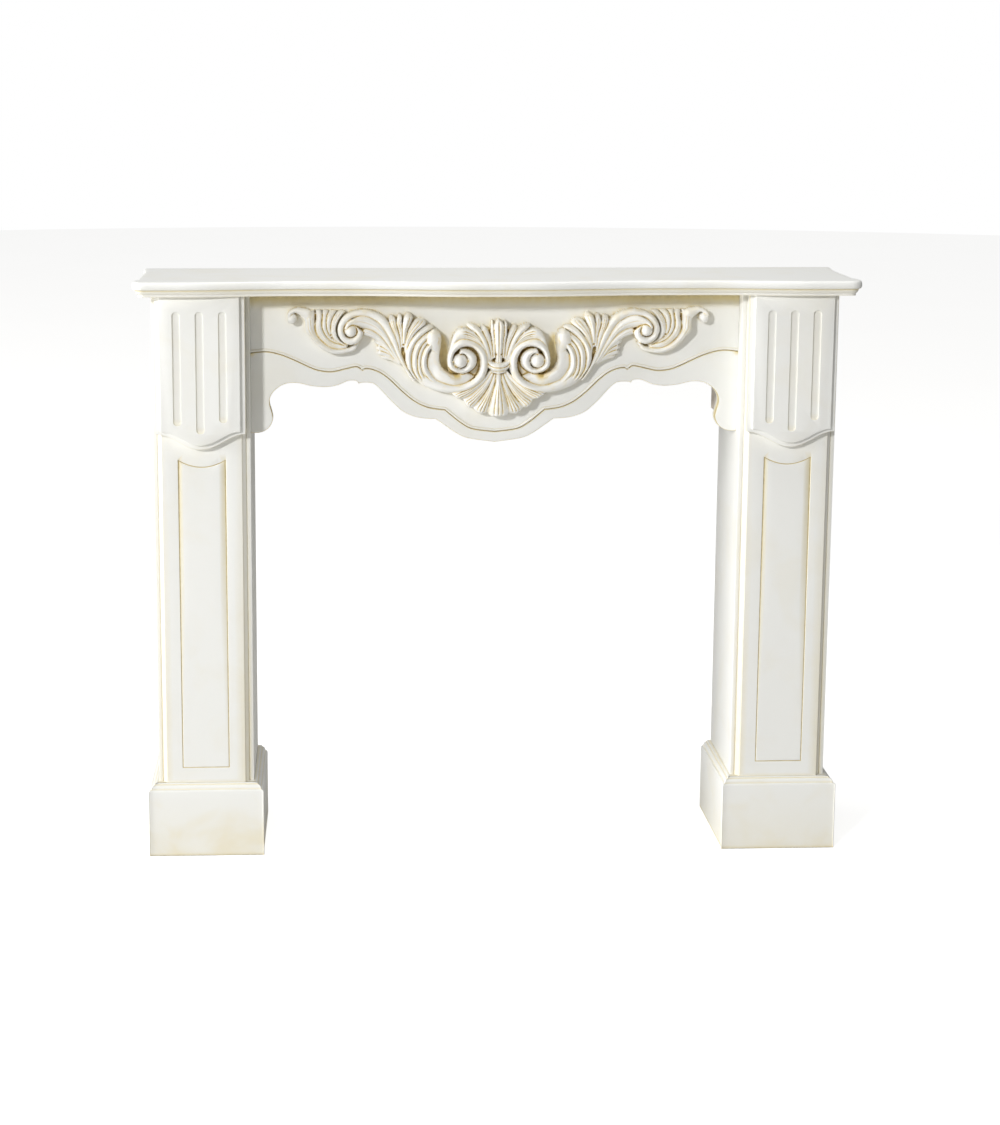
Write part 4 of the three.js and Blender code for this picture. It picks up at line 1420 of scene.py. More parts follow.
@dataclass
class Frieze:
    """The board between the legs: scalloped lower edge, brackets, and an incised line with a bead above."""

    groove_width: float = 2.6
    groove_depth: float = 2.2
    bead: float = 2.0  # radius of the bead above the groove
    bead_rise: float = 1.5  # how far it stands proud
    bead_place: float = 0.75  # from the groove to its middle, in radii
    quirk_place: float = 1.75  # and to the fine groove above it
    quirk_width: float = 1.4  # of the fine groove above the bead
    quirk_depth: float = 0.6
    edge_radius: float = 1.2
    quirk_glaze: float = 0.4
    edge_glaze: float = 0.8  # glaze and painted shade along the rounded lower edge
    leg_glaze: float = 0.6  # where the incised line meets the leg
    leg_run: float = 8.0  # over how far from the leg it fades
    leg_full: float = 0.3  # share of that run where it is full
    line_run: float = 4.0  # over how far from the line it fades
    line_full: float = 0.5
    line_spread: float = 1.2  # reach of the glaze in the line, in half widths
    bead_glaze: float = 0.05
    top_glaze: float = 0.72  # glaze and painted shade of the shelf, strongest right under it
    top_run: float = 34.0  # how far down it fades out
    beside_line: float = 1.2  # from the incised line to the points of the mesh that keep the board flat
    end_points: int = 60  # along each end
    spacing: float = 5.0
    edge: tuple = (
        ((0, 1), (0.108, 0.975), (0.156, 0.942), (0.205, 0.888), (0.244, 0.844)),
        ((0.244, 0.844), (0.281, 0.842), (0.33, 0.828), (0.378, 0.793), (0.426, 0.723), (0.465, 0.654),
         (0.494, 0.611), (0.518, 0.6), (0.547, 0.6), (0.559, 0.607)),
        ((0.559, 0.607), (0.567, 0.591), (0.581, 0.585), (0.605, 0.589), (0.648, 0.617), (0.697, 0.628),
         (0.754, 0.62), (0.812, 0.6), (0.861, 0.607), (0.9, 0.646), (0.92, 0.692), (0.924, 0.739),
         (0.914, 0.8), (0.911, 0.847), (0.929, 0.901), (0.962, 0.929), (1, 0.932)),
    )  # lower edge from the centre out, in shares of the half span and of the drop
    line: tuple = (
        ((0, 0.93), (0.09, 0.911), (0.137, 0.872), (0.185, 0.811), (0.205, 0.783)),
        ((0.205, 0.783), (0.234, 0.778), (0.281, 0.763), (0.33, 0.724), (0.378, 0.662), (0.426, 0.587),
         (0.465, 0.538), (0.504, 0.511), (0.532, 0.506), (0.543, 0.517)),
        ((0.543, 0.517), (0.553, 0.505), (0.571, 0.493), (0.62, 0.51), (0.668, 0.526), (0.716, 0.519),
         (0.754, 0.499), (0.812, 0.455), (0.861, 0.421), (0.909, 0.398), (0.948, 0.392), (0.999, 0.4)),
    )  # the incised line, the same way

    def __post_init__(self) -> None:
        """Takes the board's place from the frame."""
        self.low, self.high = box_mm("frieze_board")
        self.span = self.high[0] + GAP
        self.hang = box_mm("mantel_shelf")[0][2]
        self.drop = self.hang - self.low[2]

    def half_curve(self, stretches: Sequence, per_knot: int) -> np.ndarray:
        """Draws the right half of one of the board's curves.

        Args:
            stretches: its stretches, between cusps.
            per_knot: points from one knot to the next.

        Returns:
            Its points, from the centre out.
        """
        parts = [curve_through(stretch, per_knot) for stretch in stretches]
        shares = np.vstack([parts[0], *[part[1:] for part in parts[1:]]])
        return np.column_stack([shares[:, 0] * self.span, self.hang - shares[:, 1] * self.drop])

    def whole_curve(self, stretches: Sequence, per_knot: int) -> np.ndarray:
        """Draws one of the board's curves.

        Args:
            stretches: its stretches in the right half, between cusps.
            per_knot: points from one knot to the next.

        Returns:
            Its points, from the left end to the right.
        """
        right = self.half_curve(stretches, per_knot)
        right[-1, 0] = min(right[-1, 0], self.high[0])
        return np.vstack([right[:0:-1] * [-1, 1], right])

    def build(self, material: bpy.types.Material, field: tuple[np.ndarray, np.ndarray]) -> None:
        """Makes the board.

        Args:
            material: its finish.
            field: places round the ornament, and the glaze that it leaves there.
        """
        lower = self.whole_curve(self.edge, 6)
        rise = np.linspace(0, 1, self.end_points)[:, None]
        right_top, left_top = [self.high[0], self.high[2]], [self.low[0], self.high[2]]
        right_end = lower[-1] + (right_top - lower[-1]) * rise[1:]
        left_end = left_top + (lower[0] - left_top) * rise[:-1]
        outline = np.vstack([lower, right_end, left_end])
        line = self.whole_curve(self.line, 5)
        half, fine = self.groove_width / 2, self.quirk_width / 2
        upper = moved_aside(line, half + self.quirk_place * self.bead)

        def depth(points: np.ndarray) -> np.ndarray:
            """Works out how deep the board is cut.

            Args:
                points: places on it.

            Returns:
                The depth of the two grooves and of the eased lower edge.
            """
            groove = self.groove_depth * near(distance_to(points, line), half)
            quirk = self.quirk_depth * near(distance_to(points, upper), fine)
            return groove + quirk + eased(distance_to(points, lower), self.edge_radius)

        def patina(points: np.ndarray) -> np.ndarray:
            """Works out the glaze on the board, with painted shade along the lower edge and under the shelf.

            Args:
                points: places on it.

            Returns:
                The glaze in the grooves and round the ornament, and glaze with painted shade along the lower
                edge and under the shelf.
            """
            from_line = distance_to(points, line)
            from_leg = self.span - np.abs(points[:, 0])
            at_leg = np.clip(1 + self.leg_full - from_leg / self.leg_run, 0, 1)
            at_line = np.clip(1 + self.line_full - from_line / self.line_run, 0, 1)
            return np.maximum.reduce([
                near(from_line, half * self.line_spread),
                self.quirk_glaze * near(distance_to(points, upper), fine),
                # glaze with painted shade on the rounded lower edge
                self.edge_glaze * near(distance_to(points, lower), self.edge_radius),
                self.leg_glaze * at_leg * at_line,
                self.round_ornament(points, *field),
                # painted shade of the shelf, with its glaze, darkens the top of the board
                self.top_glaze * smooth(1 - (self.high[2] - points[:, 1]) / self.top_run),
            ])

        beside = half + self.beside_line
        sides = [moved_aside(line, aside) for aside in (half, -half, beside, -beside)]
        sides += [upper, moved_aside(upper, fine), moved_aside(upper, -fine)]
        rounded = [closed(moved_inward(outline, inset))[: len(lower)] for inset in (0.35, self.edge_radius)]
        creases = [line, *sides, *rounded]
        skin = Skin()
        ReliefBoard(outline, self.low[1], self.high[1], depth, patina, creases, self.spacing).add_to(skin)
        bead_path = moved_aside(line, half + self.bead_place * self.bead)
        beads = swept_bead(bead_path, self.low[1] + self.bead - self.bead_rise, self.bead, material)
        skin.add(*beads, self.bead_glaze)
        stand_for(skin.make("frieze", material), "antique_lacquer", "frieze_board")

    @staticmethod
    def round_ornament(points: np.ndarray, grid: np.ndarray, glaze: np.ndarray) -> np.ndarray:
        """Reads the glaze that the ornament leaves on the board.

        Args:
            points: places on the board.
            grid: places of the ornament's height field.
            glaze: the glaze at each of these.

        Returns:
            The glaze at the points.
        """
        step = grid[1, 1] - grid[0, 0]
        last = [grid.shape[1] - 1, grid.shape[0] - 1]
        columns, rows = np.clip((points - grid[0, 0]) / step, 0, last).round().astype(int).T
        return glaze[rows, columns]


def wire(name: str, lines: Sequence[np.ndarray]) -> bpy.types.Object:
    """Makes an object of bare edges, for a node tree to follow.

    Args:
        name: its name.
        lines: open lines in space, in millimetres.

    Returns:
        The object.
    """
    points, edges = [], []
    for line in lines:
        edges += [(len(points) + i, len(points) + i + 1) for i in range(len(line) - 1)]
        points += [tuple(p * MM) for p in np.asarray(line, float)]
    mesh = bpy.data.meshes.new(name)
    mesh.from_pydata(points, edges, [])
    obj = bpy.data.objects.new(name, mesh)
    bpy.context.scene.collection.objects.link(obj)
    return obj


def evaluated_mesh(
    obj: bpy.types.Object, tree: bpy.types.NodeTree, values: dict[str, object]
) -> bpy.types.Mesh:
    """Runs a node tree on an object and returns a plain mesh.

    Args:
        obj: the object, removed at the end.
        tree: the tree.
        values: the tree's inputs, by name.

    Returns:
        The mesh that it makes.
    """
    modifier = obj.modifiers.new(tree.name, "NODES")
    modifier.node_group = tree
    names = {item.name: item.identifier for item in tree.interface.items_tree if item.in_out == "INPUT"}
    for name, value in values.items():
        modifier[names[name]] = value
    bpy.context.view_layer.update()
    evaluated = obj.evaluated_get(bpy.context.evaluated_depsgraph_get())
    mesh = bpy.data.meshes.new_from_object(evaluated)
    obj.modifiers.remove(modifier)
    bpy.data.objects.remove(obj)
    return mesh


def mesh_parts(mesh: bpy.types.Mesh) -> tuple[np.ndarray, list[list[int]]]:
    """Reads a mesh and removes it.

    Args:
        mesh: the mesh, in metres.

    Returns:
        Its points, in millimetres, and its faces.
    """
    points = np.array([v.co[:] for v in mesh.vertices]) / MM
    faces = [list(p.vertices) for p in mesh.polygons]
    bpy.data.meshes.remove(mesh)
    return points, faces


def node_tree(name: str, inputs: dict[str, str]) -> tuple[bpy.types.NodeTree, bpy.types.NodeOutputs]:
    """Starts a geometry node tree that makes something in one material.

    Args:
        name: its name.
        inputs: its inputs after the geometry and the material, with their socket types.

    Returns:
        The tree, and the sockets that give its inputs.
    """
    tree = bpy.data.node_groups.new(name, "GeometryNodeTree")
    given = {"Geometry": "NodeSocketGeometry", "Material": "NodeSocketMaterial", **inputs}
    for label, kind in given.items():
        tree.interface.new_socket(label, in_out="INPUT", socket_type=kind)
    tree.interface.new_socket("Geometry", in_out="OUTPUT", socket_type="NodeSocketGeometry")
    return tree, tree.nodes.new("NodeGroupInput").outputs


def finish_tree(tree: bpy.types.NodeTree, made: bpy.types.Node, material: bpy.types.NodeSocket) -> None:
    """Ends a tree in real meshes with their material.

    Args:
        tree: the tree.
        made: the node that makes the geometry.
        material: gives the material.
    """
    real = add_node(tree, "GeometryNodeRealizeInstances", {"Geometry": made})
    dressed = add_node(tree, "GeometryNodeSetMaterial", {"Geometry": real, "Material": material})
    add_node(tree, "NodeGroupOutput", {"Geometry": dressed})


def swept_bead(
    path: np.ndarray, y: float, radius: float, material: bpy.types.Material
) -> tuple[np.ndarray, list[list[int]]]:
    """Sweeps a round bead along a line on the frieze.

    Args:
        path: the line (x, z), in millimetres.
        y: where its centre lies.
        radius: its radius.
        material: its finish.

    Returns:
        Its points, in millimetres, and its faces.
    """
    tree, given = node_tree("BeadAlongLine", {"Radius": "NodeSocketFloat"})
    line = add_node(tree, "GeometryNodeMeshToCurve", {"Mesh": given["Geometry"]})
    circle = add_node(tree, "GeometryNodeCurvePrimitiveCircle", {"Resolution": 8, "Radius": given["Radius"]})
    tube = add_node(tree, "GeometryNodeCurveToMesh", {
        "Curve": line, "Profile Curve": circle, "Fill Caps": True,
    })
    finish_tree(tree, tube, given["Material"])
    track = wire("bead_line", [in_space(path, y)])
    return mesh_parts(evaluated_mesh(track, tree, {"Radius": radius * MM, "Material": material}))


# Legs


@dataclass
class CapitalBlock:
    """The block at the head of a leg: a ledge, a raised face with a bell-shaped foot, and three flutes."""

    side: Side
    ledge: float = 8.5  # width of the ledge round the face
    ledge_below: float = 0.65  # share of that width below the face's lower corners
    face_thick: float = 8.0
    belly: float = 26.5  # how far the lower edge sags at its middle
    length: float = 235.0  # down the sides, from the shelf
    flute_width: float = 14.0
    flute_depth: float = 3.6
    flute_corner: float = 3.0  # rounding between a flute's wall and its floor
    flute_pitch: float = 38.5
    flute_top: float = 26.0
    flute_lengths: tuple[float, float, float] = (193.5, 207.5, 188.5)
    ease: float = 0.9
    overlap: float = 3.0  # how far the face runs into the board behind it
    board_glaze: float = 0.3  # along the board's edges
    face_glaze: float = 0.25  # along the face's edges
    floor_glaze: float = 0.02  # in a flute
    wall_glaze: float = 0.1  # painted shade added at its left wall, which the light from the left leaves in shade
    end_glaze: float = 0.16  # more, at its lower end
    end_run: float = 12.0  # how far up that reaches
    cover: float = 0.2  # how far round a flute its glaze is looked for

    def outline(self, centre: float, half: float, ends: float, belly: float, top: float) -> np.ndarray:
        """Draws the outline of one of the block's two layers.

        Args:
            centre: x of its middle.
            half: half its width.
            ends: height of its lower corners.
            belly: how far its lower edge sags.
            top: height of its upper edge.

        Returns:
            The outline, anticlockwise.
        """
        across = np.linspace(-1, 1, 49)
        sag = belly * 0.5 * (1 + np.cos(math.pi * across))
        lower = np.column_stack([centre + half * across, ends - sag])
        return np.vstack([lower, [[centre + half, top], [centre - half, top]]])

    def layer(self, skin: Skin, outline: np.ndarray, front: float, back: float, edge_glaze: float) -> None:
        """Adds one layer with eased edges.

        Args:
            skin: the skin of the piece.
            outline: its outline.
            front: y of its front.
            back: y of its back.
            edge_glaze: glaze along its edges.
        """
        edge = closed(outline)

        def depth(points: np.ndarray) -> np.ndarray:
            """Returns the depth of the eased edge."""
            return eased(distance_to(points, edge), self.ease)

        def patina(points: np.ndarray) -> np.ndarray:
            """Returns the glaze along the edge."""
            return edge_glaze * near(distance_to(points, edge), self.ease)

        ReliefBoard(outline, front, back, depth, patina, eased_rings(outline, self.ease)).add_to(skin)

    def build(self, node: str, material: bpy.types.Material) -> None:
        """Makes the block.

        Args:
            node: the CAD node that it stands for.
            material: its finish.
        """
        low, high = box_mm(node)
        self.shelf_bottom = box_mm("mantel_shelf")[0][2]
        self.front, self.centre = low[1], (low[0] + high[0]) / 2
        half, ends = (high[0] - low[0]) / 2, self.shelf_bottom - self.length
        step = self.front + self.face_thick
        skin, raised = Skin(), Skin()
        board = self.outline(self.centre, half, ends, self.belly, high[2])
        self.layer(skin, board, step, high[1], self.board_glaze)
        face_ends = ends + self.ledge_below * self.ledge
        belly = self.belly - (1 - self.ledge_below) * self.ledge
        face = self.outline(self.centre, half - self.ledge, face_ends, belly, high[2])
        self.layer(raised, face, self.front, step + self.overlap, self.face_glaze)
        points, faces = mesh_parts(self.cut_flutes(raised.make("raised_face", material), material))
        skin.add(points, faces, self.glaze(points))
        stand_for(skin.make(f"{self.side.word}_block", material), "antique_lacquer", node)

    def axes(self) -> list[np.ndarray]:
        """Works out where the flutes are.

        Returns:
            The middle line of each, at y = 0.
        """
        top = self.shelf_bottom - self.flute_top
        places = [self.centre + i * self.flute_pitch for i in (-1, 0, 1)]
        pairs = zip(places, self.flute_lengths)
        return [np.array([[x, 0, top], [x, 0, top - length]]) for x, length in pairs]

    def glaze(self, points: np.ndarray) -> np.ndarray:
        """Works out the glaze in the flutes, and the painted shade on their left walls.

        Args:
            points: points of the fluted face.

        Returns:
            The glaze and painted shade on each.
        """
        glaze, half = np.zeros(len(points)), self.flute_width / 2
        for axis in self.axes():
            away = distance_to(points[:, [0, 2]], axis[:, [0, 2]] + [[0, -half], [0, half]])
            left_wall = np.clip((axis[0, 0] - points[:, 0]) / half, 0, 1)
            foot = near(points[:, 2] - axis[1, 2], self.end_run)
            y = points[:, 1] - self.front
            sunk = (y > self.cover) & (y < self.flute_depth + self.cover / 2)
            # glaze on the floor and at the lower end, and painted shade on the left wall
            lying = self.floor_glaze + self.wall_glaze * left_wall**3 + self.end_glaze * foot
            glaze = np.where((away < half + self.cover) & sunk, lying, glaze)
        return glaze

    def cut_flutes(self, block: bpy.types.Object, material: bpy.types.Material) -> bpy.types.Mesh:
        """Cuts round-ended flutes along their middle lines.

        Args:
            block: the object to cut, removed at the end.
            material: its finish.

        Returns:
            The cut mesh.
        """
        tree, given = node_tree("FlutedFace", {
            "Axes": "NodeSocketObject", "Width": "NodeSocketFloat", "Height": "NodeSocketFloat",
            "Corner": "NodeSocketFloat", "Face": "NodeSocketFloat",
        })
        axes = add_node(tree, "GeometryNodeObjectInfo", {"Object": given["Axes"]})
        line = add_node(tree, "GeometryNodeMeshToCurve", {"Mesh": axes.outputs["Geometry"]})
        stations = add_node(tree, "GeometryNodeResampleCurve", {"Curve": line, "Count": 240})
        along = add_node(tree, "GeometryNodeSplineParameter").outputs["Length"]
        length = add_node(tree, "GeometryNodeSplineLength").outputs["Length"]
        half = add_node(tree, "ShaderNodeMath", {0: given["Width"], 1: 0.5}, operation="MULTIPLY")
        left = add_node(tree, "ShaderNodeMath", {0: length, 1: along}, operation="SUBTRACT")
        to_end = add_node(tree, "ShaderNodeMath", {0: along, 1: left}, operation="MINIMUM")
        share = add_node(tree, "ShaderNodeMath", {0: to_end, 1: half}, operation="DIVIDE")
        short = add_node(tree, "ShaderNodeMath", {0: 1.0, 1: share}, operation="SUBTRACT", use_clamp=True)
        square = add_node(tree, "ShaderNodeMath", {0: short, 1: 2.0}, operation="POWER")
        just_over = 1.0004  # keeps the very end of a flute from closing to nothing
        chord = add_node(tree, "ShaderNodeMath", {0: just_over, 1: square}, operation="SUBTRACT")
        taper = add_node(tree, "ShaderNodeMath", {0: chord}, operation="SQRT")
        section = add_node(tree, "GeometryNodeCurvePrimitiveQuadrilateral", {
            "Width": given["Width"], "Height": given["Height"],
        })
        rounded = add_node(tree, "GeometryNodeFilletCurve", {
            "Curve": section, "Radius": given["Corner"], "Count": 6,
        }, mode="POLY")
        tube = add_node(tree, "GeometryNodeCurveToMesh", {
            "Curve": stations, "Profile Curve": rounded, "Scale": taper, "Fill Caps": True,
        })
        forward = add_node(tree, "ShaderNodeCombineXYZ", {"Y": given["Face"]})
        cutters = add_node(tree, "GeometryNodeTransform", {"Geometry": tube, "Translation": forward})
        cut = add_node(tree, "GeometryNodeMeshBoolean", {
            "Mesh 1": given["Geometry"], "Mesh 2": cutters,
        }, operation="DIFFERENCE")
        finish_tree(tree, cut, given["Material"])
        axes_object = wire("flute_axes", self.axes())
        mesh = evaluated_mesh(block, tree, {
            "Axes": axes_object, "Width": self.flute_width * MM, "Height": 2 * self.flute_depth * MM,
            "Corner": self.flute_corner * MM, "Face": self.front * MM, "Material": material,
        })
        bpy.data.objects.remove(axes_object)
        return mesh


@dataclass
class Leg:
    """One leg: three casing boards, raised panel, foot, and the small block behind the frieze's end."""

    side: Side
    ease: float = 1.0  # rounding of the boards' edges
    mould_width: float = 6.5  # the sloping edge down each side of the panel
    mould_lip: float = 1.6  # how high its outer lip stands
    line_width: float = 2.2
    line_depth: float = 1.2
    line_inset: float = 27.5  # from the edges of the panel's face and from its foot
    line_below_block: float = 21.0
    line_dip: float = 12.0
    quirk: float = 2.4  # groove in the casing beside the panel
    quirk_depth: float = 1.3
    quirk_glaze: float = 0.05
    quirk_foot_glaze: float = 0.35  # more, down at the foot
    quirk_foot_run: float = 26.0  # how far up that reaches
    line_glaze: float = 0.95
    step_glaze: float = 0.12  # at the foot of the moulded edge
    panel_foot_glaze: float = 0.2
    panel_foot_run: float = 6.0
    beside_line: float = 0.8  # from the incised line to the points that keep the board flat
    spacing: float = 12.0
    chamfer: float = 14.0  # of the block behind the frieze
    foot_corner: float = 1.5  # radius of the foot's front corners
    foot_mould: tuple[tuple[float, float, float], ...] = (
        (0.0, 128.0, 0.35), (0.0, 122.0, 0.1), (0.0, 13.2, 0.0), (0.35, 11.6, 0.0), (1.2, 10.4, 0.0),
        (2.6, 9.9, 0.0), (3.6, 9.7, 0.15), (4.1, 9.3, 0.25), (4.3, 7.6, 0.1), (5.0, 5.6, 0.0),
        (6.3, 3.9, 0.0), (8.2, 2.8, 0.1), (9.7, 2.4, 0.3), (10.0, 2.0, 0.35), (10.1, 0.9, 0.1),
        (10.5, 0.3, 0.0), (11.2, 0.0, 0.0), (15.5, 0.0, 0.25),
    )  # inset, depth below the foot's top and glaze, from the floor up: face, round edge, cove and ledge

    def build(self, lacquer: bpy.types.Material, pine: bpy.types.Material) -> None:
        """Makes the leg.

        Args:
            lacquer: finish of the boards.
            pine: finish of the block behind the frieze.
        """
        word = self.side.word
        self.casing(f"{word}_leg", lacquer)
        self.panel(f"{word}_leg_raised_panel", lacquer)
        self.foot(f"{word}_foot", lacquer)
        CapitalBlock(self.side).build(f"{word}_capital_block", lacquer)
        self.corner_block(f"{word}_corner_block", pine)

    def casing(self, leg: str, material: bpy.types.Material) -> None:
        """Makes the three casing boards.

        Args:
            leg: how the names of their CAD nodes start.
            material: their finish.
        """
        for part in ("inner_side", "outer_side"):
            skin = Skin()
            eased_box(skin, *box_mm(f"{leg}_{part}"), self.ease)
            stand_for(skin.make(f"{self.side.word}_{part}", material), "antique_lacquer", f"{leg}_{part}")
        low, high = box_mm(f"{leg}_front_board")
        panel_low, panel_high = box_mm(f"{leg}_raised_panel")
        half = self.quirk / 2
        quirks = [panel_low[0] - half, panel_high[0] + half]
        outline = front_corners(low, high)
        edge = closed(outline)
        lines = [
            np.array([[x + aside, low[2] + 0.1], [x + aside, high[2] - 0.1]])
            for x in quirks
            for aside in (-half, 0, half)
        ]

        def from_quirk(points: np.ndarray) -> np.ndarray:
            """Returns how far points lie from the nearer quirk."""
            return np.min([np.abs(points[:, 0] - x) for x in quirks], axis=0)

        def depth(points: np.ndarray) -> np.ndarray:
            """Returns the depth of the quirks and of the eased edges."""
            quirk = self.quirk_depth * near(from_quirk(points), half)
            return quirk + eased(distance_to(points, edge), self.ease)

        def patina(points: np.ndarray) -> np.ndarray:
            """Works out the glaze on the board.

            Args:
                points: places on it.

            Returns:
                The glaze in the quirks, strongest at the foot.
            """
            low_down = near(points[:, 1] - self.foot_mould[0][1], self.quirk_foot_run)
            most = self.quirk_glaze + self.quirk_foot_glaze * low_down
            return most * near(from_quirk(points), self.quirk)

        lines += eased_rings(outline, self.ease)
        skin = Skin()
        ReliefBoard(outline, low[1], high[1], depth, patina, lines, self.spacing).add_to(skin)
        board = skin.make(f"{self.side.word}_front_board", material)
        stand_for(board, "antique_lacquer", f"{leg}_front_board")

    def frame_line(self, low: np.ndarray, high: np.ndarray, grow: float) -> np.ndarray:
        """Draws the incised frame on the panel.

        Args:
            low: the panel's lowest corner.
            high: its highest corner.
            grow: how much larger it is drawn all round.

        Returns:
            The frame, closed.
        """
        block = box_mm(f"{self.side.word}_capital_block")[0]
        centre = (low[0] + high[0]) / 2
        half = (high[0] - low[0]) / 2 - self.mould_width - self.line_inset + grow
        foot = low[2] - GAP + self.line_inset - grow
        top = block[2] - self.line_below_block + grow
        across = np.linspace(1, -1, 33)
        arch = np.column_stack([centre + half * across, top - self.line_dip * (1 - across**2)])
        sides = np.array([[centre - half, foot], [centre + half, foot]])
        return closed(np.vstack([sides, arch]))

    def panel(self, node: str, material: bpy.types.Material) -> None:
        """Makes the raised panel with its moulded edges and incised frame.

        Args:
            node: its CAD node.
            material: its finish.
        """
        low, high = box_mm(node)
        outline = front_corners(low, high)
        lip = high[1] - low[1] - self.mould_lip
        frame_path = self.frame_line(low, high, 0.0)
        half = self.line_width / 2
        profile = np.array([
            [0, lip], [0.4, lip - 0.6], [2.2, 5.6], [3.9, 3.6], [5.2, 1.9], [5.7, 1.2], [6.0, 0.4],
            [6.5, 0.05], [7.0, 0.0],
        ])  # distance from the edge, and depth there
        step_place, step_width = 5.6, 0.6

        def from_edge(points: np.ndarray) -> np.ndarray:
            """Returns how far points lie from the nearer long edge."""
            return np.minimum(points[:, 0] - low[0], high[0] - points[:, 0])

        def depth(points: np.ndarray) -> np.ndarray:
            """Returns the depth of the moulded edges and of the incised frame."""
            line = self.line_depth * near(distance_to(points, frame_path), half)
            return np.interp(from_edge(points), profile[:, 0], profile[:, 1]) + line

        def patina(points: np.ndarray) -> np.ndarray:
            """Works out the glaze on the panel.

            Args:
                points: places on it.

            Returns:
                The glaze in the incised frame, on the moulded edges and at the foot.
            """
            line = self.line_glaze * near(distance_to(points, frame_path), half)
            step = self.step_glaze * near(np.abs(from_edge(points) - step_place), step_width)
            foot = self.panel_foot_glaze * near(points[:, 1] - low[2], self.panel_foot_run)
            return np.maximum(line, step + foot)

        beside = half + self.beside_line
        lines = [self.frame_line(low, high, grow) for grow in (0, half, -half, beside, -beside)]
        for inset in profile[1:, 0]:
            for x in (low[0] + inset, high[0] - inset):
                lines.append(np.array([[x, low[2] + 0.05], [x, high[2] - 0.05]]))
        skin = Skin()
        ReliefBoard(outline, low[1], high[1], depth, patina, lines, self.spacing).add_to(skin)
        stand_for(skin.make(f"{self.side.word}_panel", material), "antique_lacquer", node)

    def foot(self, node: str, material: bpy.types.Material) -> None:
        """Makes the U-shaped foot with its moulded top.

        Args:
            node: its CAD node.
            material: its finish.
        """
        low, high = box_mm(node)
        casing_low = box_mm(f"{self.side.word}_leg_front_board")[0]
        centre, half = (low[0] + high[0]) / 2, (high[0] - low[0]) / 2
        inner = half - (casing_low[0] - low[0]) + GAP
        behind = casing_low[1] - GAP
        turn = np.linspace(0, math.pi / 2, 5)
        arc = self.foot_corner * np.column_stack([1 - np.cos(turn), 1 - np.sin(turn)])[::-1]
        rings = []
        for inset, below, _ in self.foot_mould:
            outer, front = half - inset, low[1] + inset
            left = arc + [-outer, front]
            corners = np.vstack([
                [[-outer, high[1]]], left, (left * [-1, 1])[::-1], [[outer, high[1]]],
                [[inner, high[1]], [inner, behind], [-inner, behind], [-inner, high[1]]],
            ])
            level = np.full(len(corners), high[2] - below)
            rings.append(np.column_stack([corners + [centre, 0], level]))
        skin = Skin()
        skin.loft(rings, [glaze for *_, glaze in self.foot_mould])
        stand_for(skin.make(f"{self.side.word}_foot_moulded", material), "antique_lacquer", node)

    def corner_block(self, node: str, material: bpy.types.Material) -> None:
        """Makes the small block behind the end of the frieze.

        Args:
            node: its CAD node.
            material: its finish.
        """
        low, high = box_mm(node)
        inner, outer = (high[0], low[0]) if self.side is Side.LEFT else (low[0], high[0])
        foot = low[2] + self.chamfer
        outline = np.array([[inner, high[2]], [outer, high[2]], [outer, low[2]], [inner, foot]])
        if self.side is Side.LEFT:
            outline = outline[::-1]
        skin = Skin()
        ReliefBoard(outline, low[1], high[1], nothing, nothing).add_to(skin)
        stand_for(skin.make(f"{self.side.word}_block_behind_frieze", material), "bare_wood", node)


# Studio


@dataclass(frozen=True)
class Softbox:
    """A square studio light.

    Args:
        name: its name.
        place: where it hangs, in metres.
        aim: what it points at.
        size: length of its side, in metres.
        power: in watts.
    """

    name: str
    place: tuple[float, float, float]
    aim: tuple[float, float, float]
    size: float
    power: float

    def build(self, colour: str) -> None:
        """Makes the light.

        Args:
            colour: its colour.
        """
        data = bpy.data.lights.new(self.name, "AREA")
        data.energy, data.size, data.color = self.power, self.size, linear(colour)[:3]
        lamp = bpy.data.objects.new(self.name, data)
        lamp.location = self.place
        lamp.rotation_euler = (Vector(self.aim) - Vector(self.place)).to_track_quat("-Z", "Y").to_euler()
        bpy.context.scene.collection.objects.link(lamp)


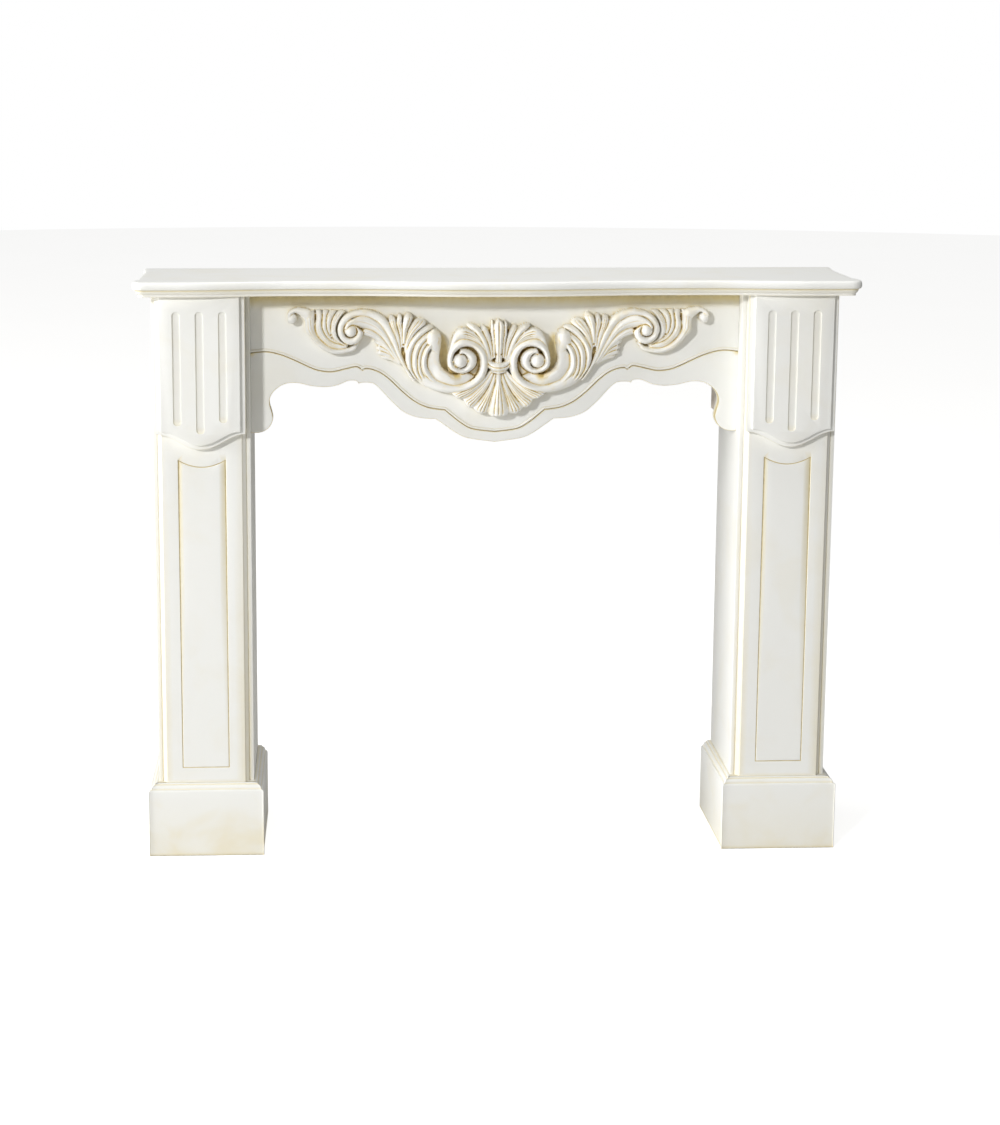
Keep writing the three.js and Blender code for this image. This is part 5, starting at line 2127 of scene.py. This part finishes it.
@dataclass
class Studio:
    """Plain pale floor, soft lights, and the camera at the photograph's viewing angle."""

    camera_place: tuple[float, float, float] = (-0.2777, -3.456, 1.359)
    camera_turn: float = 0.0384  # radians towards +X
    camera_tilt: float = -0.1573  # radians below the horizon
    camera_roll: float = 0.0018
    lens: float = 64.78
    shift: tuple[float, float] = (0.08, -0.155)
    sky: float = 0.25  # strength of the surround as a light
    white: str = "#FFFFFF"
    floor_paint: tuple[str, str] = ("#D6D5D1", "#DBDAD7")
    floor_clouds: float = 1.6  # scale of the unevenness
    floor_roughness: float = 0.9
    floor_radius: float = 14.0
    floor_glow: float = 0.74  # added as the camera sees the floor, so that it ends in the white surround
    lights: tuple[Softbox, ...] = (
        Softbox("key", (-4.2, -7.0, 3.7), (0.0, 0.0, 0.6), 0.7, 350),
        Softbox("overhead", (0.0, -0.2, 3.2), (0.0, 0.0, 0.5), 1.4, 33),
        Softbox("left_fill", (-9.0, -1.2, 1.4), (0.1, 0.0, 0.6), 2.6, 600),
    )

    def build(self) -> None:
        """Makes the camera, the lights, the surround and the floor."""
        self.camera()
        for light in self.lights:
            light.build(self.white)
        self.surround()
        self.floor()
        scene = bpy.context.scene
        scene.view_settings.view_transform = "Standard"
        scene.view_settings.look = "None"

    def camera(self) -> None:
        """Makes the camera."""
        turn, tilt, roll = self.camera_turn, self.camera_tilt, self.camera_roll
        ahead = Vector((math.sin(turn) * math.cos(tilt), math.cos(turn) * math.cos(tilt), math.sin(tilt)))
        level = Vector((math.cos(turn), -math.sin(turn), 0))
        upward = level.cross(ahead)
        right = math.cos(roll) * level + math.sin(roll) * upward
        up = -math.sin(roll) * level + math.cos(roll) * upward
        data = bpy.data.cameras.new("camera")
        data.lens, data.sensor_width, data.sensor_fit = self.lens, 36.0, "AUTO"
        data.shift_x, data.shift_y = self.shift
        data.clip_start, data.clip_end = 0.05, 100.0
        data.dof.use_dof = False
        camera = bpy.data.objects.new("camera", data)
        turned = Matrix((right, up, -ahead)).transposed().to_4x4()
        camera.matrix_world = Matrix.Translation(self.camera_place) @ turned
        bpy.context.scene.collection.objects.link(camera)
        bpy.context.scene.camera = camera

    def surround(self) -> None:
        """Makes the white surround: full white behind the object, dimmer as a light."""
        world = bpy.data.worlds.new("surround")
        bpy.context.scene.world = world
        world.use_nodes = True
        tree = world.node_tree
        tree.nodes.clear()
        seen = add_node(tree, "ShaderNodeLightPath").outputs["Is Camera Ray"]
        lit = add_node(tree, "ShaderNodeBackground", {"Color": linear(self.white), "Strength": self.sky})
        white = add_node(tree, "ShaderNodeBackground", {"Color": linear(self.white), "Strength": 1.0})
        both = add_node(tree, "ShaderNodeMixShader", {0: seen, 1: lit, 2: white})
        add_node(tree, "ShaderNodeOutputWorld", {"Surface": both})

    def floor(self) -> None:
        """Makes the floor: matt painted, pale, with a faint unevenness."""
        material, tree, place = new_material("matt_floor_paint")
        clouds = add_node(tree, "ShaderNodeTexNoise", {
            "Vector": place, "Scale": self.floor_clouds, "Detail": 2.0,
        })
        darker, paler = self.floor_paint
        colour = add_node(tree, "ShaderNodeMix", {
            0: clouds, COLOUR_A: linear(darker), COLOUR_B: linear(paler),
        }, data_type="RGBA")
        seen = add_node(tree, "ShaderNodeLightPath").outputs["Is Camera Ray"]
        glow = add_node(tree, "ShaderNodeMath", {0: seen, 1: self.floor_glow}, operation="MULTIPLY")
        set_inputs(tree, tree.nodes["Principled BSDF"], {
            "Base Color": colour.outputs[COLOUR_OUT], "Emission Strength": glow,
            "Emission Color": linear(self.white), "Roughness": self.floor_roughness,
        })
        mesh = bpy.data.meshes.new("floor")
        shape = bmesh.new()
        bmesh.ops.create_circle(shape, cap_ends=True, radius=self.floor_radius, segments=96)
        shape.to_mesh(mesh)
        shape.free()
        show("floor", mesh, material, 30.0)


def main() -> None:
    """Builds the mantelpiece and its studio."""
    lacquer = LACQUER.build()
    ornament = ORNAMENT.build()
    pine = SawnPine().build()
    Studio().build()
    Shelf().build(lacquer)
    field = Carving().build(ornament)
    Frieze().build(lacquer, field)
    for side in Side:
        Leg(side).build(lacquer, pine)


if __name__ == "__main__":
    main()
